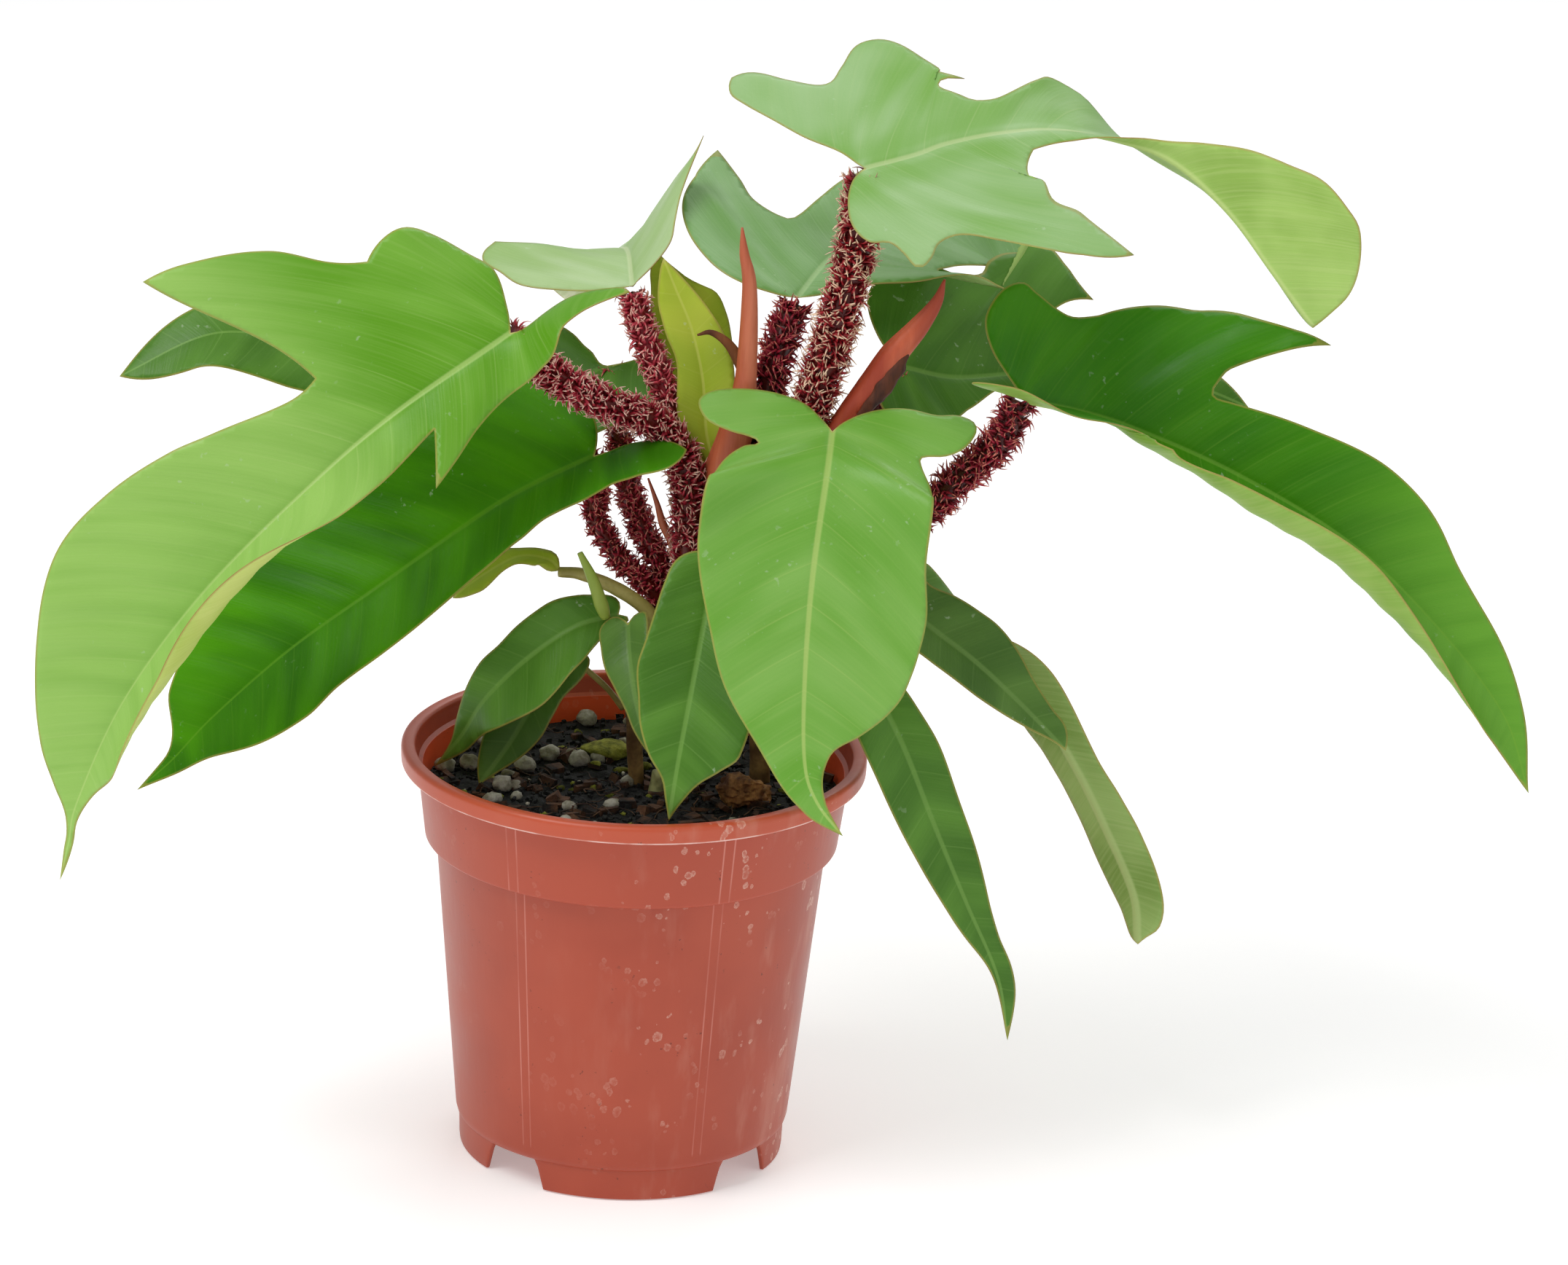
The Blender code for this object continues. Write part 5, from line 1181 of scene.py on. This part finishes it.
def litter():
    """Bark chips, crumbs, perlite grains, clay granules and fibres on the soil."""
    rng = np.random.default_rng(5)

    def spot(limit=59.0):
        r, a = limit * math.sqrt(rng.uniform()), rng.uniform(0, math.tau)
        return r * math.cos(a), r * math.sin(a)

    def chips(count, limit, low, high, flat, lift):
        out = []
        for _ in range(count):
            x, y = spot(limit)
            verts, faces = chip(rng, low, high, flat)
            out.append((verts + np.array([x, y, ground(x, y) + lift]), faces))
        return out

    def lumps(count, low, high, shape, lift, rough):
        out = []
        for _ in range(count):
            x, y = spot()
            size = rng.uniform(low, high)
            centre = (x, y, ground(x, y) + size * lift)
            out.append(blob(centre, [size * share for share in shape], rng.uniform(0, 50), rough, 2))
        return out

    def grains(count):
        out = []
        for _ in range(count):
            x, y = spot()
            out.append(blob((x, y, ground(x, y) + 0.5), rng.uniform(0.4, 1.0, 3), rng.uniform(0, 50), 0.3, 1))
        return out

    def fibres(count):
        out = []
        for _ in range(count):
            x, y = spot(55.0)
            heading = rng.uniform(0, math.tau)
            path = []
            for k in range(4):
                px, py = x + k * 3.0 * math.cos(heading), y + k * 3.0 * math.sin(heading)
                heading += rng.normal(0, 0.5)
                if math.hypot(px, py) > 60.0:
                    break
                path.append((px, py, ground(px, py) + rng.uniform(0.6, 2.2)))
            if len(path) == 4:
                out.append(ring_tube(*even_line(path, [0.22, 0.16, 0.1], 1.0), 5))
        return out

    bark = chips(150, 59.0, 2.5, 8.0, 0.45, 0.5)
    crumbs = chips(1500, 60.5, 0.7, 2.4, 0.8, 0.3)
    perlite = grains(26)
    granules = lumps(34, 1.3, 2.7, (1.0, 0.9, 0.8), 0.4, 0.3)
    moss = lumps(60, 0.8, 2.2, (1.0, 0.7, 0.6), 0.3, 0.5)
    kinds = (("bark_chips", bark, "bark", True), ("soil_crumbs", crumbs, "soil", True),
             ("pale_grains", perlite, "perlite", False), ("clay_granules", granules, "pellet", False),
             ("soil_fibres", fibres(90), "fibre", False), ("moss_bits", moss, "moss", False))
    for name, parts, look, flat in kinds:
        verts, faces = join(parts)
        mesh_piece(name, verts, faces, [PLAIN[look]], SLOTS["soil"], flat=flat)


def loose_pieces():
    """Clay pellets, moss, a dead stem and an old stub lying on the soil."""
    spots = [(-57, 7), (-50, 10), (-33, 10), (-26, 21), (-17, 17), (-16, 54), (-39, -7)]
    for index, (x, y) in enumerate(spots):
        verts, faces = blob((x, y, SOIL_TOP + 2.85), (3.1, 2.9, 2.6), 11.0 + index, 0.28)
        stand_in(f"pellet_{index + 1}", verts, faces, PLAIN["pellet"])
    verts, faces = blob((-9, 27, SOIL_TOP + 2.6), (7.0, 6.0, 2.7), 31.0, 0.22, 4)
    stand_in("moss", verts, faces, PLAIN["moss"])
    verts, faces = blob((33, -10, SOIL_TOP + 4.6), (8.0, 5.6, 4.5), 32.0, 0.42, 5)
    crease = wobble(verts * np.array([0.25, 1.0, 1.0]), 0.8, 0.9)
    verts = verts + crease[:, None] * np.array([0.1, 1.0, 1.0])
    stand_in("dead_stem", verts, faces, PLAIN["dead_stem"])
    rod("stub", "stub", [(7, -3, 112.6), (7.3, -3, 116.3), (7.6, -3, 120.3)], [2.5, 2.0], knobbly=0.25)


# ---------------------------------------------------------------- stalks, stems, sheaths as placed

def bristly_petioles():
    """Stalks of the large leaves, from the crown up."""
    petiole("left_big", "pink", [(12, 1, 160), (14, -3, 180), (13.5, -2, 203), (12, 1.5, 216), (4, 0.5, 228),
                                 (-13, -6, 236.5), (-29, -11, 246.7)], [3.0, 3.3, 3.3, 3.1], 4.6)
    petiole("left_lower", "red", [(7, 5, 160), (4.5, 5, 173.5), (-6, 6, 183.5), (-14, 8, 195), (-14, 8, 204)],
            [2.3, 2.4, 2.3], 3.2)
    petiole("left_back", "red", [(9, 11, 160), (6, 10, 181), (0, 12, 191), (-5, 19, 202), (-9, 30, 217)],
            [2.4, 2.8, 2.8, 2.5], 3.4)
    petiole("upper_left", "rose",
            [(14, 16, 160), (17, 13, 185), (12, 12, 212), (6, 13, 231.7), (-1, 17, 247.7)],
            [2.6, 3.0, 3.0, 2.7], 3.6)
    petiole("top_mid", "dark", [(24, 13, 160), (27, 11, 186), (31, 9, 205), (36, 9, 239), (38.5, 10, 251)],
            [2.8, 3.2, 3.3, 3.0], 4.6)
    petiole("top_right", "cream", [(28, 5, 160), (36, 3, 193), (47, 0, 229), (54.5, -4, 261), (59.5, -4, 284),
                                   (61, -3, 298)], [3.2, 3.6, 3.9, 3.9, 3.6], 5.2, 0.78)
    petiole("right_back", "dark", [(28, 18, 160), (33, 17, 171), (45, 19, 188), (58, 23, 208), (68, 28, 224)],
            [2.6, 2.8, 2.8, 2.6], 3.2)
    petiole("right_big", "dark", [(30, -3, 160), (44, -7, 173), (59, -8, 185), (75, -9, 200), (93, -9, 218),
                                  (105, -10, 232)], [3.0, 3.3, 3.3, 3.0], 4.6)
    petiole("front", "red", [(23, -3, 160), (28, -9, 168), (36, -11, 182), (44, -13, 199), (51, -14, 218)],
            [2.6, 3.0, 3.0, 2.7], 3.2)
    petiole("front_small", "dark", [(17, -5, 160), (23, -10, 171), (24, -15, 183)], [1.8, 2.0, 2.0], 2.4)


def smooth_stalks():
    """Stalks of the young leaves."""
    stalk("shoot_front", [(-2, -5, 157), (-3, -10.5, 165)], [1.0, 1.0])
    stalk("shoot_low", [(-4, 5, 137), (-9, 3, 144), (-16, 2, 150.5)], [0.9, 0.9])
    stalk("shoot_upper", [(4.5, -3, 150), (4.5, -3, 162), (3, -2.5, 170), (-5, -1.5, 176), (-17, 1.5, 180)],
          [1.5, 2.2, 2.3, 2.1, 1.9, 1.5])
    for part, path in (("right_short", [(40.5, 4, 152), (52, 2, 165), (65, 1, 173)]),
                       ("right_turned", [(36, 9.5, 153), (50, 13, 165), (64, 17, 172)]),
                       ("right_low", [(38, 0.8, 143), (48, -8, 150), (59, -13, 156)]),
                       ("yellow", [(18, 9.5, 160), (19.3, 8.2, 185), (21, 8.2, 203)]),
                       ("yellow_back", [(19.5, 19, 160), (20, 22, 185), (19.5, 25, 203)])):
        stalk(part, path, [1.3, 1.3])


def stems():
    """Upright stems; the main one swells into the crown that the petioles leave."""
    foot = SOIL_TOP - 1.0
    rod("stem_main", "stem", [(16, 13, foot), (16.2, 12.5, 124), (17, 11, 136), (19, 8, 149), (19, 7, 158.5)],
        [5.5, 5.2, 5.2, 6.5, 11.0], knobbly=0.55)
    rod("stem_left", "stem", [(1, 3, foot), (-1, 0, 140), (-2, -2, 155)], [2.4, 2.0], knobbly=0.2)
    rod("stem_right", "stem", [(38, 6, foot), (37, 6, 135), (36, 5, 148)], [3.2, 2.6], knobbly=0.25)


def sheaths():
    """Papery sheaths, the dry husk on the right one, and the leaf that is still rolled."""
    rod("sheath_tall", "sheath", [(19, 3.5, 166), (20, 2, 197), (23, 1, 214), (27, 0, 228), (29, 0, 244),
                                  (29, 0, 271), (27, 0, 282), (26, 0, 290)],
        [2.0, 3.4, 4.8, 4.6, 2.9, 2.0, 1.3, 0.3], 0.85, 0.16)
    rod("sheath_right", "sheath_right", [(46, -8, 200), (53, -3, 223), (60, -4, 235), (66, -4, 244),
                                         (72, -4, 254), (79, -4, 263), (84, -4, 271), (86, -4, 278)],
        [2, 3, 3.5, 3.9, 3.7, 2.8, 1.6, 0.3], 0.85, 0.16)
    rod("sheath_dry", "sheath_dry", [(29, 6.5, 228), (30, 7, 239), (27, 5.5, 247), (23, 5, 253), (18, 5, 256),
                                     (14, 5, 255)], [1.5, 1.8, 1.7, 1.3, 0.8, 0.3], 0.7, 0.2)
    husk = [(76, -5.5, 257), (73.5, -6.5, 251), (69, -7, 244), (63, -7.5, 236)]
    line, width = even_line(husk, [0.4, 1.8, 2.3, 1.0], 0.9)
    verts, faces = ring_tube(line, width, 24, 0.6, 0.25)
    verts = verts + wobble(verts, 0.35, 0.9)[:, None] * np.array([1.0, 0.3, 0.2])
    mesh_piece("sheath_right_husk", verts, faces, [PLAIN["husk"]], SLOTS["sheath_dry"])
    rod("sheath_small", "sheath", [(10, 5, 185), (9, 6, 190), (6, 7, 195), (4, 8, 201), (1, 8, 209)],
        [1.4, 1.5, 1.2, 0.8, 0.3], 0.8, 0.1)
    rod("leaf_rolled", "rolled", [(-9.7, -11, 171), (-11, -11.7, 175), (-14, -12, 183.4), (-18, -12, 191.4)],
        [1.4, 2.0, 1.6, 0.8], 0.8, 0.14)


# ---------------------------------------------------------------- colours and materials

MARGIN = margin_material()
LEAF_COLOURS = {                 # upper side light, dark, vein; lower side light, dark, vein
    "left_big": ((120, 174, 66), (96, 154, 42), (180, 210, 124),
                 (196, 212, 118), (172, 198, 90), (214, 224, 142)),
    "left_lower": ((80, 146, 20), (58, 112, 14), (104, 158, 50),
                   (150, 180, 96), (128, 160, 76), (180, 200, 120)),
    "dark_back": ((98, 144, 60), (74, 116, 46), (130, 170, 88),
                  (150, 180, 100), (128, 160, 76), (180, 200, 120)),
    "upper_left": ((176, 202, 148), (150, 184, 112), (202, 216, 168),
                   (200, 214, 166), (176, 196, 134), (220, 226, 190)),
    "top_mid": ((134, 174, 116), (108, 154, 80), (164, 194, 136),
                (170, 196, 130), (146, 178, 100), (194, 210, 150)),
    "top_right": ((156, 192, 132), (124, 172, 84), (190, 208, 150),
                  (172, 206, 112), (150, 186, 90), (200, 220, 142)),
    "right_big": ((76, 140, 22), (62, 124, 14), (124, 172, 66),
                  (146, 182, 88), (118, 160, 62), (176, 196, 116)),
    "front": ((132, 180, 90), (108, 164, 64), (182, 204, 118),
              (172, 200, 120), (150, 180, 96), (196, 214, 142)),
    "young_dark": ((98, 134, 66), (76, 110, 52), (124, 158, 88),
                   (128, 160, 84), (104, 138, 64), (160, 184, 108)),
    "turned": ((112, 150, 74), (88, 130, 52), (150, 180, 100),
               (146, 176, 100), (118, 150, 72), (176, 196, 128)),
    "yellow": ((178, 192, 70), (158, 180, 58), (194, 202, 96),
               (196, 206, 96), (176, 192, 78), (212, 216, 130)),
}
LEAF_EXTRAS = {
    "top_right": {"sweep_dark": 0.55, "streaks": 0.4, "rib": 1.1},
    "yellow": {"rib": 0.5, "streaks": 0.25},
    "front": {"rib": 1.0, "streaks": 0.35},
    "left_big": {"gloss": 0.34, "tip": ((166, 206, 112), 30.0, 80.0)},
    "right_big": {"strength": 0.45, "shine": 0.14, "tip": ((120, 176, 70), 80.0, 150.0)},
    "left_lower": {"strength": 0.5, "streaks": 0.35, "shine": 0.08},
    "young_dark": {"strength": 0.5, "streaks": 0.3, "dust": 0.4},
    "dark_back": {"strength": 0.5, "streaks": 0.35, "dust": 0.35},
}
LOOKS = {}
for kind, row in LEAF_COLOURS.items():
    upper = blade_material("top_" + kind, *row[:3], **LEAF_EXTRAS.get(kind, {}))
    LOOKS[kind] = (upper, underside_material("under_" + kind, *row[3:]))

BRISTLES = {                     # root, shaft, tip, how far along the tip's colour starts
    "cream": ((92, 16, 22), (172, 46, 56), (248, 214, 184), 0.54),
    "pink": ((106, 16, 30), (190, 56, 74), (250, 206, 190), 0.55),
    "rose": ((130, 24, 44), (212, 80, 96), (244, 190, 176), 0.5),
    "red": ((104, 20, 34), (190, 60, 78), (230, 150, 132), 0.6),
    "dark": ((78, 14, 24), (166, 46, 64), (220, 132, 114), 0.66),
}
BRISTLES = {name: bristle_material("bristles_" + name, *row) for name, row in BRISTLES.items()}

PLAIN = {                        # light, dark, blotches per metre, roughness, bump, grain, stretch
    "stalk": ((178, 164, 96), (138, 128, 66), 60.0, 0.5, 0.0002, 800.0),
    "stem": ((150, 120, 72), (84, 62, 38), 90.0, 0.75, 0.0005, 600.0),
    "sheath": ((206, 118, 86), (170, 78, 52), 60.0, 0.5, 0.0003, 700.0, (1, 1, 0.12)),
    "sheath_right": ((204, 100, 68), (164, 66, 46), 60.0, 0.5, 0.0003, 700.0, (1, 1, 0.12)),
    "sheath_dry": ((134, 82, 46), (74, 42, 26), 80.0, 0.8, 0.0006, 500.0, (1, 1, 0.3)),
    "husk": ((96, 52, 28), (44, 22, 14), 200.0, 0.75, 0.0008, 500.0, (1, 1, 0.3)),
    "rolled": ((176, 186, 90), (140, 160, 66), 60.0, 0.5, 0.0002, 700.0, (1, 1, 0.15)),
    "soil": ((30, 25, 22), (13, 11, 9), 160.0, 0.92, 0.0012, 800.0),
    "bark": ((92, 62, 44), (38, 24, 18), 180.0, 0.9, 0.0008, 900.0),
    "fibre": ((96, 70, 50), (46, 32, 24), 200.0, 0.8, 0.0002, 900.0),
    "perlite": ((196, 190, 178), (140, 132, 120), 200.0, 0.85, 0.0004, 900.0),
    "pellet": ((178, 174, 164), (116, 110, 94), 200.0, 0.9, 0.0008, 900.0),
    "moss": ((150, 150, 62), (84, 86, 30), 260.0, 0.95, 0.0010, 1200.0),
    "dead_stem": ((160, 114, 68), (78, 50, 30), 200.0, 0.9, 0.0012, 600.0, (1, 0.4, 1)),
    "stub": ((160, 160, 110), (112, 112, 72), 200.0, 0.75, 0.0005, 700.0),
}
PLAIN = {name: plain_material(name + "_look", *row) for name, row in PLAIN.items()}


# ---------------------------------------------------------------- build

leaf_left_big()
leaf_left_lower()
leaf_left_back()
leaf_upper_left()
leaf_top_mid()
leaf_top_right()
leaf_right_back()
leaf_right_big()
leaf_front()
leaf_front_small()
small_leaves()
right_leaves()
centre_leaves()
bristly_petioles()
smooth_stalks()
stems()
sheaths()
pot()
soil_top()
litter()
loose_pieces()

soil_node = frame["nodes"]["soil"]
soil_node.data.materials.clear()
soil_node.data.materials.append(PLAIN["soil"])


# ---------------------------------------------------------------- floor, light, camera

FLOOR_REACH = 6.0
FLOOR_Z = -0.0004
FLOOR_GLOW = 0.3
WORLD_LIGHT = 0.5
LAMPS = (                        # name, place, height looked at, size, power
    ("key", (-0.75, -0.55, 1.5), 0.15, 0.8, 13.0),
    ("fill", (1.4, -0.9, 0.9), 0.15, 1.2, 3.0),
    ("back", (0.3, 1.2, 1.4), 0.2, 1.0, 6.0))
CAMERA_PLACE = (-0.00181, -2.09100, 0.88214)
CAMERA_PITCH = 0.332015          # radians below level
CAMERA_ROLL = 0.043267
LENS = 169.12


def floor():
    """Plain pale floor that runs out of sight."""
    mesh = bpy.data.meshes.new("floor")
    corners = [(x * FLOOR_REACH, y * FLOOR_REACH, FLOOR_Z) for x, y in ((-1, -1), (1, -1), (1, 1), (-1, 1))]
    mesh.from_pydata(corners, [], [(0, 1, 2, 3)])
    obj = bpy.data.objects.new("floor", mesh)
    bpy.context.scene.collection.objects.link(obj)
    g = Graph("floor_white")
    g.tones(g.step(g.noise(3.0), 0.35, 0.65), (247, 247, 247), (250, 250, 250))
    g.shader.inputs["Emission Color"].default_value = (1.0, 1.0, 1.0, 1.0)
    g.shader.inputs["Emission Strength"].default_value = FLOOR_GLOW
    mesh.materials.append(g.done(0.8))


def lamp(name, place, look_at, size, power):
    """Square soft light aimed at a height on the plant's middle."""
    light = bpy.data.lights.new(name, "AREA")
    light.shape = "SQUARE"
    light.size = size
    light.energy = power
    obj = bpy.data.objects.new(name, light)
    obj.location = place
    heading = Vector((0.0, 0.0, look_at)) - Vector(place)
    obj.rotation_euler = heading.to_track_quat("-Z", "Y").to_euler()
    bpy.context.scene.collection.objects.link(obj)


def studio():
    """Even white surroundings, shown without a film look."""
    world = bpy.data.worlds.new("studio")
    world.use_nodes = True
    background = world.node_tree.nodes["Background"]
    background.inputs["Color"].default_value = (1.0, 1.0, 1.0, 1.0)
    background.inputs["Strength"].default_value = WORLD_LIGHT
    scene = bpy.context.scene
    scene.world = world
    scene.view_settings.view_transform = "Standard"
    scene.view_settings.look = "None"


def camera():
    """Long lens in front of the plant, looking down on it and slightly rolled."""
    forward = Vector((0.0, math.cos(CAMERA_PITCH), -math.sin(CAMERA_PITCH)))
    right = Vector((1.0, 0.0, 0.0))
    up = right.cross(forward)
    across = right * math.cos(CAMERA_ROLL) + up * math.sin(CAMERA_ROLL)
    upward = up * math.cos(CAMERA_ROLL) - right * math.sin(CAMERA_ROLL)
    lens = bpy.data.cameras.new("camera")
    lens.lens = LENS
    lens.sensor_width = 36.0
    lens.clip_start = 0.05
    lens.clip_end = 30.0
    obj = bpy.data.objects.new("camera", lens)
    turn = Matrix((across, upward, -forward)).transposed()
    obj.matrix_world = Matrix.Translation(CAMERA_PLACE) @ turn.to_4x4()
    bpy.context.scene.collection.objects.link(obj)
    bpy.context.scene.camera = obj


floor()
for row in LAMPS:
    lamp(*row)
studio()
camera()
